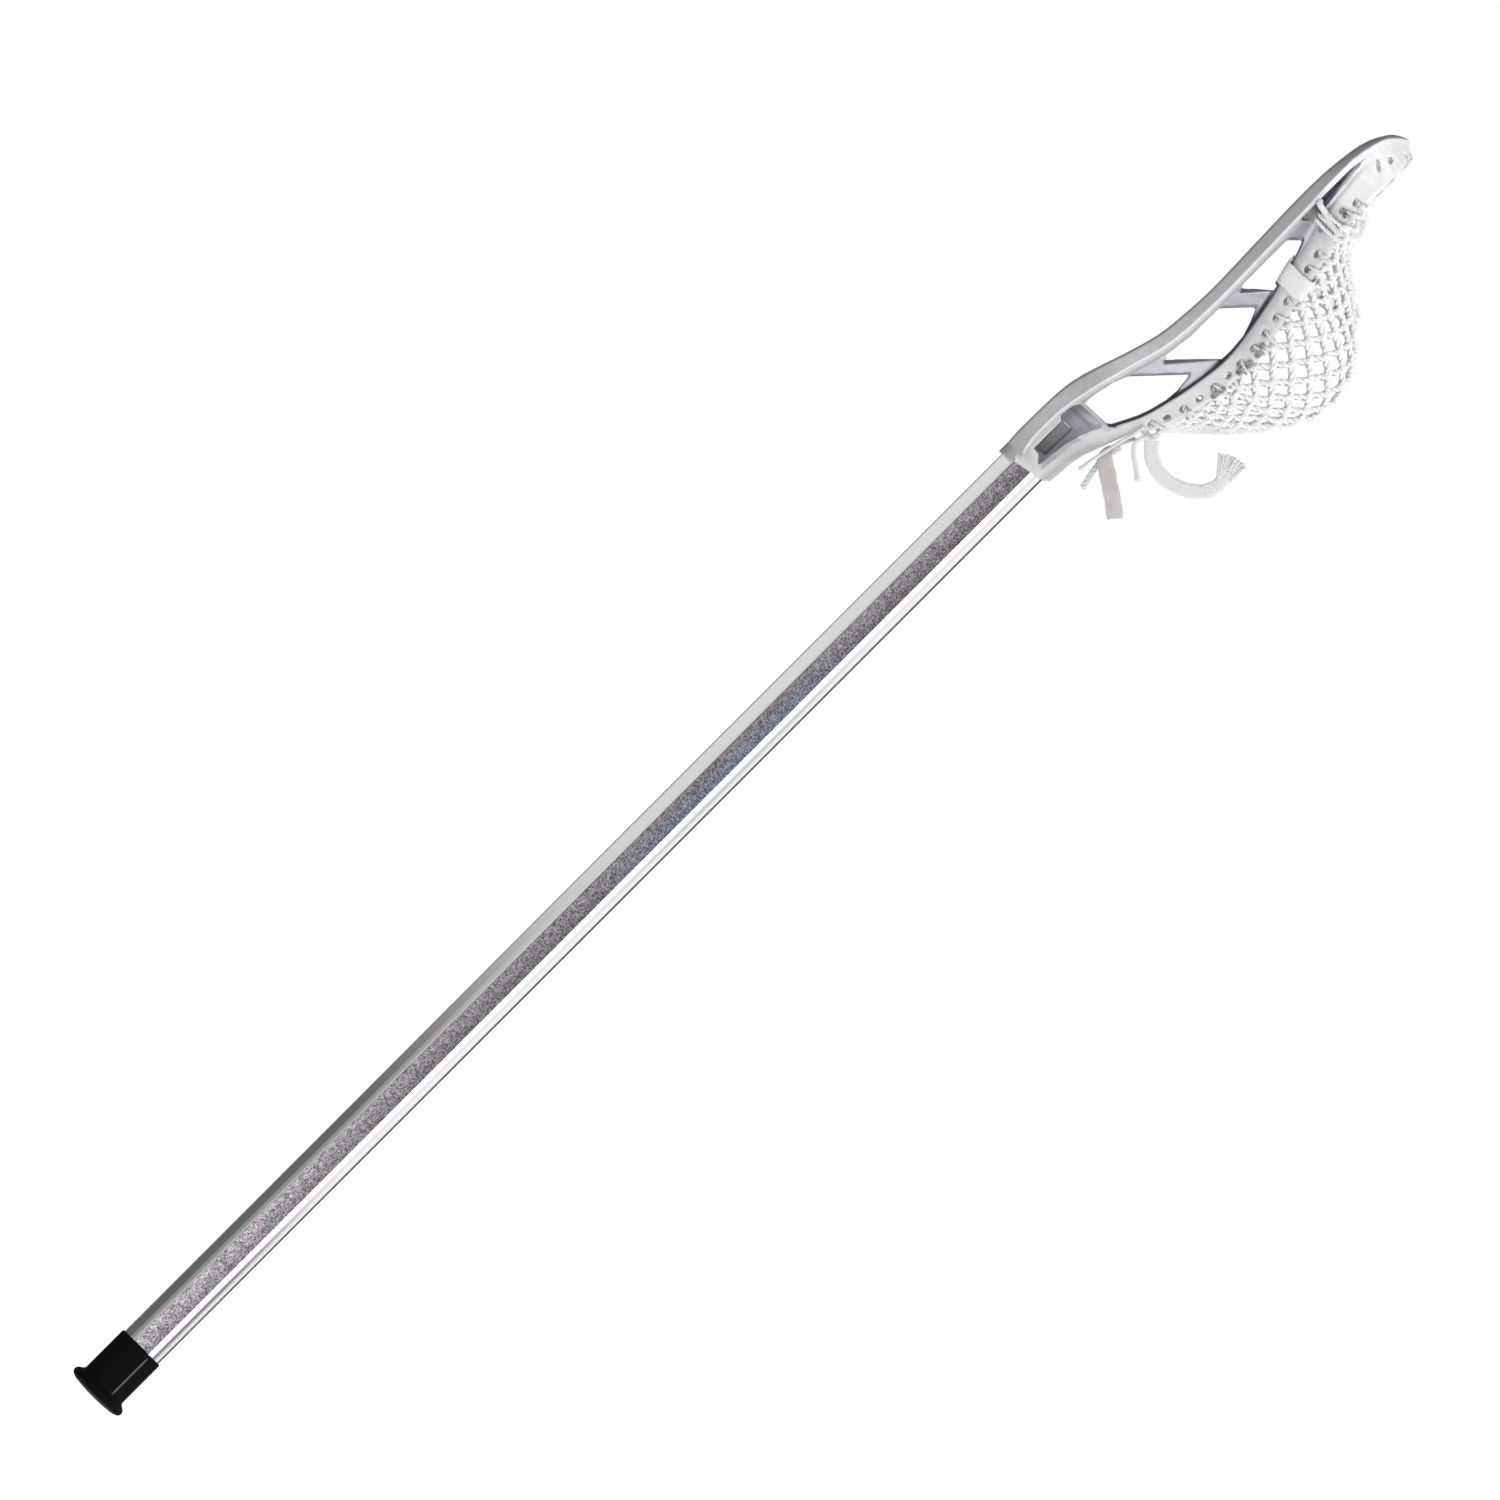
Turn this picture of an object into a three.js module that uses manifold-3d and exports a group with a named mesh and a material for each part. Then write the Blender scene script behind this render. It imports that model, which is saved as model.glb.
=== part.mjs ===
// Men's field lacrosse stick, attack length, standing upright on its butt.
// Units are millimetres. Z runs up the shaft from the butt, X is across the head, and Y is the
// depth: the face that takes the ball looks along -Y and the pocket hangs to +Y.
// The head is left-right symmetric. Only the free lace ends at the throat are on one side, +X.

import * as THREE from 'three';
import { mergeVertices } from 'three/addons/utils/BufferGeometryUtils.js';
import Module from 'manifold-3d';

const wasm = await Module();
wasm.setup();

// ---------------------------------------------------------------- driving dimensions

const GAP = 0.3;                       // clearance between pieces that touch
const LENGTH = 1016.3;                 // butt to the tip of the scoop, 40 in

const TUBE = {
  halfX: 11.2, halfY: 13.15,           // outside of the eight-sided section
  flatX: 6.0, flatY: 4.4,              // half lengths of the side flats and of the front and back flats
  wall: 1.3, bottom: 6.6, top: 768.5,
};

const CAP = {
  halfX: 12.5, halfY: 14.35,           // sleeve outside
  flangeX: 16.4, flangeY: 18.4,        // flange outside
  flangeHeight: 6.3, height: 39, crown: 1.5, footRadius: 7,
};

const SCREW = { z: 748, shank: 1.9, head: 3.5, headHeight: 2.2, headBase: 15.2, tip: 6 };

const MOUTH = { z: 731.1, slope: 0.2 };             // slanted mouth of the collar
const SOCKET_TOP = 769.2;
const COLLAR = { halfX: 14.3, front: -15.5 };
const BALL_STOP = { centreZ: 819, radius: 43, halfWidth: 22, web: 2.3 };

// Head outline from the front: half width and height, up one side to the middle of the scoop.
const OUTLINE = [
  [14.1, 738.6], [14.9, 744], [17.2, 756], [22, 768], [28, 780], [33, 790], [37.5, 802], [41, 826],
  [44.5, 860], [50.5, 890], [60.5, 920], [72, 950], [79.5, 975], [73, 997], [48, 1010], [0, LENGTH],
];

// Lines along the side wall: depth Y against height Z.
const frontEdge = curve([
  [731, -15.5], [738, -15.5], [746, -16], [780, -15], [800, -10.4], [820, -3.9], [840, 1.6], [860, 3.8],
  [880, 4.6], [920, 3.5], [950, 2.8], [970, 3.3], [990, 5.5], [1000, 8], [1008, 12], [1012, 15],
  [LENGTH, 21.5],
]);
const bandEdge = curve([
  [738, -5.6], [752, -8], [770, -7.8], [790, -4.4], [812, 1.2], [842, 9], [875, 11], [930, 10.2],
  [965, 9.4], [985, 9.6], [1000, 12.4], [1008, 15.6], [LENGTH, 23.6],
]);
const topRailLower = curve([
  [738, -3], [784, -1], [800, 2.2], [812, 5.8], [832, 11.6], [853, 14.6], [880, 15.1], [930, 14.4],
  [965, 12.2], [990, 13], [1000, 15.6], [1008, 19], [LENGTH, 25.6],
]);
const lowerRailTop = curve([
  [738, 6.5], [752, 8], [770, 13.3], [784, 18], [800, 24.8], [820, 30.9], [840, 34.6], [857, 36.2],
  [875, 34.4], [903, 29.2], [930, 23.6], [946, 19.4], [970, 16.6], [990, 15.2], [1000, 17.6],
  [1008, 21], [LENGTH, 27.4],
]);
const backEdge = curve([
  [731, 14.6], [740, 16.8], [758, 18.4], [769, 22.2], [777, 25], [784, 28], [791, 31.2], [802, 39],
  [820, 45.6], [841, 49.2], [861, 50.2], [882, 48.2], [903, 44], [924, 39.6], [945, 35], [965, 32.6],
  [990, 32.8], [1008, 32.3], [LENGTH, 32],
]);
const lean = curve([[742, 0], [780, 1.5], [820, 4.5], [860, 5], [LENGTH, 5.4]]);
const topThickness = curve([[742, 7], [860, 8], [940, 8], [975, 6.5], [1000, 4.5], [LENGTH, 3.6]]);
const LOWER_RAIL_WIDTH = 5.6;

// Openings in the side wall, as [Z, Y] outlines.
const WINDOWS = [
  {
    facet: [0, 5],
    outline: [[783.8, -0.7], [793, 0.2], [805, 3], [812.4, 6.1], [837.6, 29.8], [826, 31], [817.6, 30.3],
      [808, 27.9], [799.5, 24.8], [791, 20.2], [784.6, 16.3]],
  },
  {
    facet: [-9.2, 3],
    outline: [[832.4, 12.2], [853, 14.9], [875.4, 15.2], [890.5, 29.4], [882, 33], [874, 35.6], [863, 36.5],
      [855.3, 36.2]],
  },
  {
    facet: [-9.2, 3],
    outline: [[890.8, 15.1], [929.4, 15], [935.6, 21.2], [929.6, 23.6], [918.9, 26.9], [903, 29.9]],
  },
];
const SCOOP_RECESS = [
  [940.5, 12.2], [960, 11.9], [980, 12], [992, 13.4], [970, 16.4], [955, 19.9], [946, 19],
];
const THROAT_RECESS = [
  [740.7, 5.8], [746, 1], [746, -2.8], [768, -2.8], [770, -5.2], [778, -4.2], [781.6, -2],
  [781.8, 15.6], [770, 10.4], [760, 7.6], [750, 6.5],
];
const THROAT_SLOT = [[748, -2.5], [769, -2.5], [769, 4.6], [748, 4.2]];
const EDGE_GROOVE = [[766.5, -13.2], [779, -13.8], [779, -12.6], [766.5, -12]];

const HOLE_HEIGHTS = [802, 810.5, 820.5, 831, 841.4, 851.3, 861, 872, 882.4, 893, 903.6, 924.2, 933.9, 960.6,
  969.2];
const HOLE = { long: 2.5, short: 1.75, aboveEdge: 5 };
const SIDE_SLOTS = [
  { from: [995.4, 17.8], to: [989.6, 25.3], half: 1.1 },
  { from: [1001.2, 22.5], to: [997.9, 26.1], half: 1.3 },
];
const SCOOP_SLOTS = { x: [-36, -13, 13, 36], y: 27.6, halfX: 2.8, halfY: 1.2 };

// The pocket: the depth of its middle line, and the edge that the sidewall strings hold.
const pocketDepth = curve([
  [797, 36.5], [807, 44.6], [817, 55.6], [835, 74], [855, 89.3], [870, 97.2], [882, 99], [894, 96.8],
  [904, 92.7], [913, 85.7], [921, 77.6], [936, 60.2], [944, 49.8], [954, 42.3], [964, 38.2], [975, 34.6],
  [1003, 30],
]);
const POCKET = { edgeInset: 11.2, throatZ: 801, scoopZ: 999, edgeTopZ: 977, thickness: 3, fullness: 2.3 };
const POCKET_ROWS = 18;
const POCKET_COLUMNS = 18;

const STRING_RADIUS = 1.2;
const STRING_INSET = 3.6;              // from the inner face of the lower rail to a string's centre
const LACE = { width: 9, thickness: 1.4, lowerZ: 912, upperZ: 952 };
const WRAP = { fromZ: 905, toZ: 920, clear: 0.6, thickness: 1.4 };

// Free lace ends: points along each one's centre line as [X, Y, Z].
const TAILS = {
  throat_lace_tail: {
    flat: 10, thickness: 2, twist: Math.PI / 2,
    route: [[24.8, 33.4, 790], [24.6, 31.1, 785], [24.5, 28.9, 779.5], [24.6, 27.6, 774.5], [24.8, 29.4, 770],
      [25.4, 36, 765.3], [26.1, 41.4, 761.6], [26.7, 46.9, 758], [27, 52.2, 754.2], [27.1, 57.1, 750.3]],
  },
  curled_lace_tail: {
    flat: 8, thickness: 2, twist: 0,
    route: [[26, 40.9, 795.6], [26, 45.5, 790.4], [26.2, 52.1, 786.7], [26.5, 59.4, 785.6], [27, 66.6, 786.8],
      [27.5, 73.8, 789.8], [28, 79, 793.7], [28.5, 83, 798.9], [29, 84.7, 804.9], [29.3, 83.6, 810.4],
      [29.4, 82.8, 812.8]],
  },
  thin_tail: {
    radius: 1,
    route: [[35.2, 32.1, 798], [33.4, 31.1, 791.1], [31.8, 29.2, 784], [31, 27.9, 778.4], [30.2, 26.6, 772],
      [29.4, 25.2, 766], [28.4, 24.2, 760], [27.6, 23.6, 755.2]],
  },
  short_thick_tail: {
    radius: 1.8,
    route: [[17.6, 31, 781], [17.8, 29.8, 775], [18.2, 28.9, 769], [18.6, 29.3, 762], [19, 30.8, 755],
      [19.3, 32.2, 749.5]],
  },
  hanging_tail: {
    radius: 1.3,
    route: [[31.4, 38, 795.8], [31.4, 35.7, 792.2], [31.3, 35.2, 788], [31.2, 38.9, 783], [31.2, 44.6, 778.8],
      [31.2, 51.4, 773.8]],
  },
};

const FINISH = {
  aluminium: { color: 0x8a868c, roughness: 0.42, metalness: 0.85 },
  rubber: { color: 0x17181a, roughness: 0.85, metalness: 0 },
  nylon: { color: 0xe4e5e6, roughness: 0.5, metalness: 0 },
  steel: { color: 0xb9bcc0, roughness: 0.3, metalness: 1 },
  foam: { color: 0x2a2b2d, roughness: 0.95, metalness: 0 },
  cord: { color: 0xf2f1ee, roughness: 0.9, metalness: 0 },
  lace: { color: 0xe2d8d8, roughness: 0.9, metalness: 0 },
};

// ---------------------------------------------------------------- geometry helpers

// A smooth function through [position, value] points, with no overshoot between them.
function curve(points) {
  const slopes = points.map((point, i) => {
    const before = points[Math.max(i - 1, 0)];
    const after = points[Math.min(i + 1, points.length - 1)];
    return (after[1] - before[1]) / (after[0] - before[0]);
  });
  return (position) => {
    const last = points.length - 1;
    const at = Math.min(Math.max(position, points[0][0]), points[last][0]);
    let i = 0;
    while (i < last - 1 && at > points[i + 1][0]) i += 1;
    const span = points[i + 1][0] - points[i][0];
    const t = (at - points[i][0]) / span;
    const rise = points[i + 1][1] - points[i][1];
    const bound = 3 * Math.abs(rise);
    const startSlope = THREE.MathUtils.clamp(slopes[i] * span, -bound, bound);
    const endSlope = THREE.MathUtils.clamp(slopes[i + 1] * span, -bound, bound);
    const t2 = t * t;
    const t3 = t2 * t;
    return points[i][1] + (3 * t2 - 2 * t3) * rise + (t3 - 2 * t2 + t) * startSlope + (t3 - t2) * endSlope;
  };
}

function solidFrom(positions, indices) {
  const mesh = new wasm.Mesh({
    numProp: 3,
    vertProperties: new Float32Array(positions),
    triVerts: new Uint32Array(indices),
  });
  return new wasm.Manifold(mesh);
}

function geometryFrom(solid) {
  const mesh = solid.getMesh();
  const geometry = new THREE.BufferGeometry();
  geometry.setAttribute('position', new THREE.BufferAttribute(mesh.vertProperties, 3));
  geometry.setIndex(new THREE.BufferAttribute(mesh.triVerts, 1));
  return mergeVertices(geometry, 1e-3);
}

function signedVolume(rings, indices) {
  const points = rings.flat();
  let total = 0;
  for (let i = 0; i < indices.length; i += 3) {
    const [a, b, c] = [points[indices[i]], points[indices[i + 1]], points[indices[i + 2]]];
    total += a.dot(b.clone().cross(c));
  }
  return total;
}

// A closed solid through rings of Vector3 with equal counts. Each end is closed with the triangles
// of its own flat outline, and the faces are turned to look outward.
function loft(rings, capOutline) {
  const count = rings[0].length;
  const indices = [];
  for (let r = 0; r < rings.length - 1; r += 1) {
    for (let i = 0; i < count; i += 1) {
      const next = (i + 1) % count;
      const [a, b] = [r * count + i, r * count + next];
      indices.push(a, b, b + count, a, b + count, a + count);
    }
  }
  const flat = capOutline.map(([x, y]) => new THREE.Vector2(x, y));
  const forward = THREE.ShapeUtils.isClockWise(flat) ? -1 : 1;
  const end = (rings.length - 1) * count;
  for (const [a, b, c] of THREE.ShapeUtils.triangulateShape(flat, [])) {
    const [p, q] = forward > 0 ? [b, c] : [c, b];
    indices.push(a, q, p, end + a, end + p, end + q);
  }
  if (signedVolume(rings, indices) < 0) {
    for (let i = 0; i < indices.length; i += 3) {
      [indices[i + 1], indices[i + 2]] = [indices[i + 2], indices[i + 1]];
    }
  }
  return solidFrom(rings.flat().flatMap((p) => [p.x, p.y, p.z]), indices);
}

// A straight prism: an outline of [Z, Y] points carried along X.
function prismX(outline, fromX, toX) {
  const rings = [fromX, toX].map((x) => outline.map(([z, y]) => new THREE.Vector3(x, y, z)));
  return loft(rings, outline);
}

// A straight prism: an outline of [X, Z] points carried along Y.
function prismY(outline, fromY, toY) {
  const rings = [fromY, toY].map((y) => outline.map(([x, z]) => new THREE.Vector3(x, y, z)));
  return loft(rings, outline);
}

// A straight prism: an outline of [X, Y] points carried along Z.
function prismZ(outline, fromZ, toZ) {
  const rings = [fromZ, toZ].map((z) => outline.map(([x, y]) => new THREE.Vector3(x, y, z)));
  return loft(rings, outline);
}

function both(makeSide) {
  return makeSide(1).add(makeSide(-1));
}

function mirrored(geometry) {
  const copy = geometry.clone();
  copy.scale(-1, 1, 1);
  const index = copy.getIndex();
  for (let i = 0; i < index.count; i += 3) {
    const second = index.getX(i + 1);
    index.setX(i + 1, index.getX(i + 2));
    index.setX(i + 2, second);
  }
  return copy;
}

function ellipse(centre, radii, turn, sides) {
  const points = [];
  for (let i = 0; i < sides; i += 1) {
    const angle = (2 * Math.PI * i) / sides;
    const [u, v] = [radii[0] * Math.cos(angle), radii[1] * Math.sin(angle)];
    points.push([
      centre[0] + u * Math.cos(turn) - v * Math.sin(turn),
      centre[1] + u * Math.sin(turn) + v * Math.cos(turn),
    ]);
  }
  return points;
}

// An eight-sided [X, Y] section with its corners rounded by one short chord each.
function octagon(halfX, halfY, flatX, flatY, ease = 0) {
  const corners = [[halfX, flatX], [flatY, halfY], [-flatY, halfY], [-halfX, flatX], [-halfX, -flatX],
    [-flatY, -halfY], [flatY, -halfY], [halfX, -flatX]];
  if (ease === 0) return corners;
  const points = [];
  corners.forEach(([x, y], i) => {
    for (const [nx, ny] of [corners[(i + 7) % 8], corners[(i + 1) % 8]]) {
      const reach = ease / Math.hypot(nx - x, ny - y);
      points.push([x + (nx - x) * reach, y + (ny - y) * reach]);
    }
  });
  return points;
}

// A tube or a flat strip along a smooth route. The section is [across, thickness] points, where
// across lies in the route's own plane, square to X. A twist turns the start and fades out by halfway.
function strand(route, section, steps, twist = 0) {
  const path = new THREE.CatmullRomCurve3(route.map((p) => new THREE.Vector3(...p)), false, 'centripetal');
  const rings = [];
  for (let i = 0; i <= steps; i += 1) {
    const centre = path.getPointAt(i / steps);
    const tangent = path.getTangentAt(i / steps);
    const turn = twist * (1 - THREE.MathUtils.smoothstep(i / steps, 0.15, 0.5));
    const across = new THREE.Vector3(1, 0, 0).cross(tangent).normalize().applyAxisAngle(tangent, turn);
    const side = new THREE.Vector3().crossVectors(tangent, across);
    rings.push(section.map(([u, v]) => centre.clone().addScaledVector(across, u).addScaledVector(side, v)));
  }
  return loft(rings, section);
}

function roundSection(radius) {
  return ellipse([0, 0], [radius, radius], Math.PI / 8, 8);
}

function flatSection(width, thickness) {
  const [u, v] = [width / 2, thickness / 2];
  return [[u, -v * 0.4], [u, v * 0.4], [u - v, v], [v - u, v], [-u, v * 0.4], [-u, -v * 0.4], [v - u, -v],
    [u - v, -v]];
}

// ---------------------------------------------------------------- the head's side wall path

// Outline points from the +X throat over the scoop to the -X throat, with the inward normal of each.
const headPath = new THREE.SplineCurve([
  ...OUTLINE.map(([x, z]) => new THREE.Vector2(x, z)),
  ...OUTLINE.slice(0, -1).reverse().map(([x, z]) => new THREE.Vector2(-x, z)),
]);
headPath.arcLengthDivisions = 2000;

function stationAt(share) {
  const point = headPath.getPointAt(share);
  const tangent = headPath.getTangentAt(share);
  return { x: point.x, z: point.y, inward: new THREE.Vector2(-tangent.y, tangent.x) };
}

function stations(count) {
  return Array.from({ length: count + 1 }, (_, i) => stationAt(i / count));
}

// The share of the path, on the +X half, whose outline point is at height z.
function shareAtHeight(z) {
  let [low, high] = [0, 0.5];
  for (let i = 0; i < 40; i += 1) {
    const middle = (low + high) / 2;
    if (headPath.getPointAt(middle).y < z) low = middle; else high = middle;
  }
  return low;
}

function outlineX(z) {
  return headPath.getPointAt(shareAtHeight(z)).x;
}

// A point that is inset from the outline by the given distance, at depth y.
function wallPoint(station, inset, y) {
  return new THREE.Vector3(
    station.x + station.inward.x * inset,
    y,
    station.z + station.inward.y * inset,
  );
}

// Section of the side wall as [inset, Y] points: banded upper rail, sloping web, lower rail. Round the
// scoop the outside becomes one plain slope.
function wallSection(z) {
  const front = frontEdge(z);
  const band = bandEdge(z);
  const railLower = topRailLower(z);
  const railTop = lowerRailTop(z);
  const back = backEdge(z);
  const shift = lean(z);
  const thick = topThickness(z);
  const chamfer = Math.min(1.7, (railLower - band) * 0.7);
  const facet = Math.min(2.3, (back - railTop) * 0.3);
  const scooped = THREE.MathUtils.smoothstep(z, 972, 994);
  const plain = (inset, y) => {
    const slope = 0.3 + (shift - 0.1) * ((y - band) / (back - 1.3 - band));
    return [THREE.MathUtils.lerp(inset, slope, scooped), y];
  };
  return [
    [1, front], [0, front + 1], [0, band], plain(1.7, band + chamfer), plain(1.8, railLower),
    plain(shift + 2.4, railTop), plain(shift + 0.2, railTop + facet), [shift + 0.2, back - 1.3],
    [shift + 1.4, back],
    [shift + LOWER_RAIL_WIDTH - 1, back], [shift + LOWER_RAIL_WIDTH, back - 1.3],
    [shift + LOWER_RAIL_WIDTH, railTop + facet], [shift + 4.4, railTop],
    [thick - 0.8, railLower], [thick, band], [thick, front + 1.4], [thick - 1.4, front],
  ];
}

function makeSideWall() {
  const rings = stations(86).map((station) => (
    wallSection(station.z).map(([inset, y]) => wallPoint(station, inset, y))
  ));
  return loft(rings, wallSection(headPath.getPointAt(0).y));
}

// ---------------------------------------------------------------- the head's throat

function makeThroat() {
  const heights = [MOUTH.z, 743, 752, 762, 770, 778, 786];
  const rings = heights.map((z, i) => {
    const halfX = z < 742 ? COLLAR.halfX : Math.max(COLLAR.halfX, outlineX(z) - 1.6);
    const front = i === 0 ? COLLAR.front : frontEdge(z) + 0.4;
    const back = backEdge(z) - 0.4;
    const middle = (front + back) / 2;
    const halfY = (back - front) / 2;
    const corner = 4.5;
    return octagon(halfX, halfY, halfY - corner, halfX - corner, 1.4).map(([x, y]) => {
      const slant = i === 0 ? (y + middle - COLLAR.front) * MOUTH.slope : 0;
      return new THREE.Vector3(x, y + middle, z + slant);
    });
  });
  return loft(rings, octagon(10, 12, 6, 5, 1.4));
}

function ballStopLine(x, web) {
  return BALL_STOP.centreZ - Math.sqrt(BALL_STOP.radius ** 2 - x ** 2) - web;
}

function ballStopArc(halfWidth, web, steps = 10) {
  const points = [];
  for (let i = 0; i <= steps; i += 1) {
    const x = halfWidth * ((2 * i) / steps - 1);
    points.push([x, ballStopLine(x, web)]);
  }
  return points;
}

function makeBallStopCut() {
  const { halfWidth } = BALL_STOP;
  return prismY([...ballStopArc(halfWidth, 0), [halfWidth, 790], [-halfWidth, 790]], -40, 50);
}

// The recess on each side of the throat, kept clear of the curved ball stop behind it.
function makeThroatRecess(side) {
  const floor = 13.3;
  const recess = prismX(THROAT_RECESS, side * floor, side * 45);
  const behind = prismY([...ballStopArc(32, BALL_STOP.web), [32, 800], [-32, 800]], -30, 40);
  return recess.subtract(behind).add(prismX(THROAT_SLOT, side * 10, side * 20));
}

function makeScrewHole() {
  const through = ellipse([0, SCREW.z], [2.3, 2.3], 0, 12);
  const counterbore = ellipse([0, SCREW.z], [4.1, 4.1], 0, 16);
  return prismY(through, 5, 20).add(prismY(counterbore, SCREW.headBase - GAP, 24));
}

// ---------------------------------------------------------------- openings in the side wall

function insetX(z, inset) {
  return outlineX(z) - inset;
}

// A cutter whose outer outline is shifted, so it leaves a slanted facet on one side of the opening.
function makeFacetCut(outline, shift, side) {
  const ring = (inset, [dz, dy]) => outline.map(([z, y]) => (
    new THREE.Vector3(side * insetX(z, inset), y + dy, z + dz)
  ));
  return loft([ring(8, [0, 0]), ring(-3, shift)], outline);
}

function makeWindows() {
  return WINDOWS.map(({ outline, facet }) => (
    prismX(outline, -90, 90).add(both((side) => makeFacetCut(outline, facet, side)))
  )).reduce((all, one) => all.add(one));
}

// The wedge beside the scoop, which leaves a floor 1.6 thick.
function makeScoopRecess(side) {
  const ring = (inset) => SCOOP_RECESS.map(([z, y]) => new THREE.Vector3(side * insetX(z, inset(z)), y, z));
  return loft([ring((z) => topThickness(z) - 2.4), ring(() => -4)], SCOOP_RECESS);
}

function makeStringHoles() {
  const round = HOLE_HEIGHTS.map((z) => {
    const slope = Math.atan(backEdge(z + 4) / 8 - backEdge(z - 4) / 8);
    const outline = ellipse([z, backEdge(z) - HOLE.aboveEdge], [HOLE.long, HOLE.short], slope, 8);
    return prismX(outline, -90, 90);
  });
  const slots = SIDE_SLOTS.map(({ from, to, half }) => {
    const middle = [(from[0] + to[0]) / 2, (from[1] + to[1]) / 2];
    const length = Math.hypot(to[0] - from[0], to[1] - from[1]) / 2;
    const turn = Math.atan2(to[1] - from[1], to[0] - from[0]);
    const outline = ellipse(middle, [length, half], turn, 10);
    return both((side) => prismX(outline, side * 40, side * 90));
  });
  const scoop = SCOOP_SLOTS.x.map((x) => (
    prismZ(ellipse([x, SCOOP_SLOTS.y], [SCOOP_SLOTS.halfX, SCOOP_SLOTS.halfY], 0, 10), 985, 1020)
  ));
  return [...round, ...slots, ...scoop].reduce((all, one) => all.add(one));
}

function makeHeadFrame() {
  const socket = prismZ(octagon(TUBE.halfX + GAP, TUBE.halfY + GAP, TUBE.flatX, TUBE.flatY), 715, SOCKET_TOP);
  const groove = both((side) => prismX(EDGE_GROOVE, side * 12, side * 45));
  const cuts = [
    makeBallStopCut(), socket, both(makeThroatRecess), makeScrewHole(), groove, makeWindows(),
    both(makeScoopRecess), makeStringHoles(),
  ];
  return cuts.reduce((solid, cut) => solid.subtract(cut), makeSideWall().add(makeThroat()));
}

// ---------------------------------------------------------------- shaft, cap, screw and pad

function makeTube() {
  const { halfX, halfY, flatX, flatY, wall, bottom, top } = TUBE;
  const outside = prismZ(octagon(halfX, halfY, flatX, flatY, 0.8), bottom, top);
  const inner = octagon(halfX - wall, halfY - wall, flatX - 0.5, flatY - 0.5, 0.8);
  const screwHole = prismY(ellipse([0, SCREW.z], [2.3, 2.3], 0, 12), 5, 20);
  return outside.subtract(prismZ(inner, bottom - 5, top + 5)).subtract(screwHole);
}

function makeEndCap() {
  const { halfX, halfY, flangeX, flangeY, flangeHeight, height, crown, footRadius } = CAP;
  const sleeve = octagon(halfX, halfY, 6.5, 4.9, 1.4);
  const flange = octagon(flangeX, flangeY, 8.6, 6.8, 3);
  const scaled = (outline, share, z) => outline.map(([x, y]) => new THREE.Vector3(x * share, y * share, z));
  const foot = flange.map(([x, y]) => {
    const reach = footRadius / Math.hypot(x, y);
    return new THREE.Vector3(x * reach, y * reach, 0);
  });
  const rings = [
    foot,
    scaled(flange, 0.75, crown * 0.45),
    scaled(flange, 0.93, crown * 1.2),
    scaled(flange, 1, crown * 2.2),
    scaled(flange, 1, flangeHeight - 1.4),
    scaled(flange, 0.95, flangeHeight),
    scaled(sleeve, 1, flangeHeight + 2),
    scaled(sleeve, 1, height - 0.8),
    scaled(sleeve, 0.965, height),
  ];
  const clearance = 0.15;
  const bore = octagon(TUBE.halfX + clearance, TUBE.halfY + clearance, TUBE.flatX, TUBE.flatY);
  return loft(rings, flange).subtract(prismZ(bore, flangeHeight, height + 5));
}

function makeScrew() {
  const { shank, head, headHeight, headBase, tip, z } = SCREW;
  const profile = [
    [0, tip], [shank * 0.5, tip + 1.5], [shank, tip + 3], [shank, headBase], [head, headBase],
    [head, headBase + headHeight * 0.5], [head * 0.75, headBase + headHeight], [0, headBase + headHeight],
  ].map(([radius, y]) => new THREE.Vector2(radius, y));
  const geometry = new THREE.LatheGeometry(profile, 16);
  const drive = octagon(1.1, 1.1, 0.9, 0.9).map(([x, y]) => [x, y + z]);
  geometry.translate(0, 0, z);
  geometry.deleteAttribute('normal');
  geometry.deleteAttribute('uv');
  const welded = mergeVertices(geometry, 1e-3);
  const body = solidFrom(welded.getAttribute('position').array, welded.getIndex().array);
  return body.subtract(prismY(drive, headBase + headHeight - 1.2, headBase + headHeight + 2));
}

function makeBallStopPad() {
  const [near, far] = [0.3, 2.8];
  const outer = ballStopArc(18, -near);
  const inner = ballStopArc(18, -far).reverse();
  return prismY([...outer, ...inner], -9, 22);
}

// ---------------------------------------------------------------- the pocket and its strings

// The lower rail's inner face moved inward by a clearance, as a share of the path.
function railPoint(share, clearance, y) {
  const station = stationAt(share);
  return wallPoint(station, lean(station.z) + LOWER_RAIL_WIDTH + clearance, y);
}

// A point on the outside of the pocket. across runs from -1 to 1 between the rails and along runs
// from 0 at the throat to 1 at the scoop.
function pocketPoint(across, along) {
  const edgeHeight = POCKET.throatZ + 1 + (POCKET.edgeTopZ - POCKET.throatZ - 1) * along;
  const middleHeight = POCKET.throatZ + (POCKET.scoopZ - POCKET.throatZ) * along;
  const edge = railPoint(shareAtHeight(edgeHeight), POCKET.edgeInset - LOWER_RAIL_WIDTH, 0);
  const edgeDepth = backEdge(edgeHeight) - 4;
  const fullness = 1 - Math.abs(across) ** POCKET.fullness;
  return new THREE.Vector3(
    edge.x * across,
    edgeDepth + (pocketDepth(middleHeight) - edgeDepth) * fullness,
    middleHeight + (edge.z - middleHeight) * across ** 2,
  );
}

function pocketNormal(across, along) {
  const step = 0.01;
  const left = pocketPoint(Math.max(across - step, -1), along);
  const right = pocketPoint(Math.min(across + step, 1), along);
  const below = pocketPoint(across, Math.max(along - step, 0));
  const above = pocketPoint(across, Math.min(along + step, 1));
  return above.sub(below).cross(right.sub(left)).normalize();
}

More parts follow.
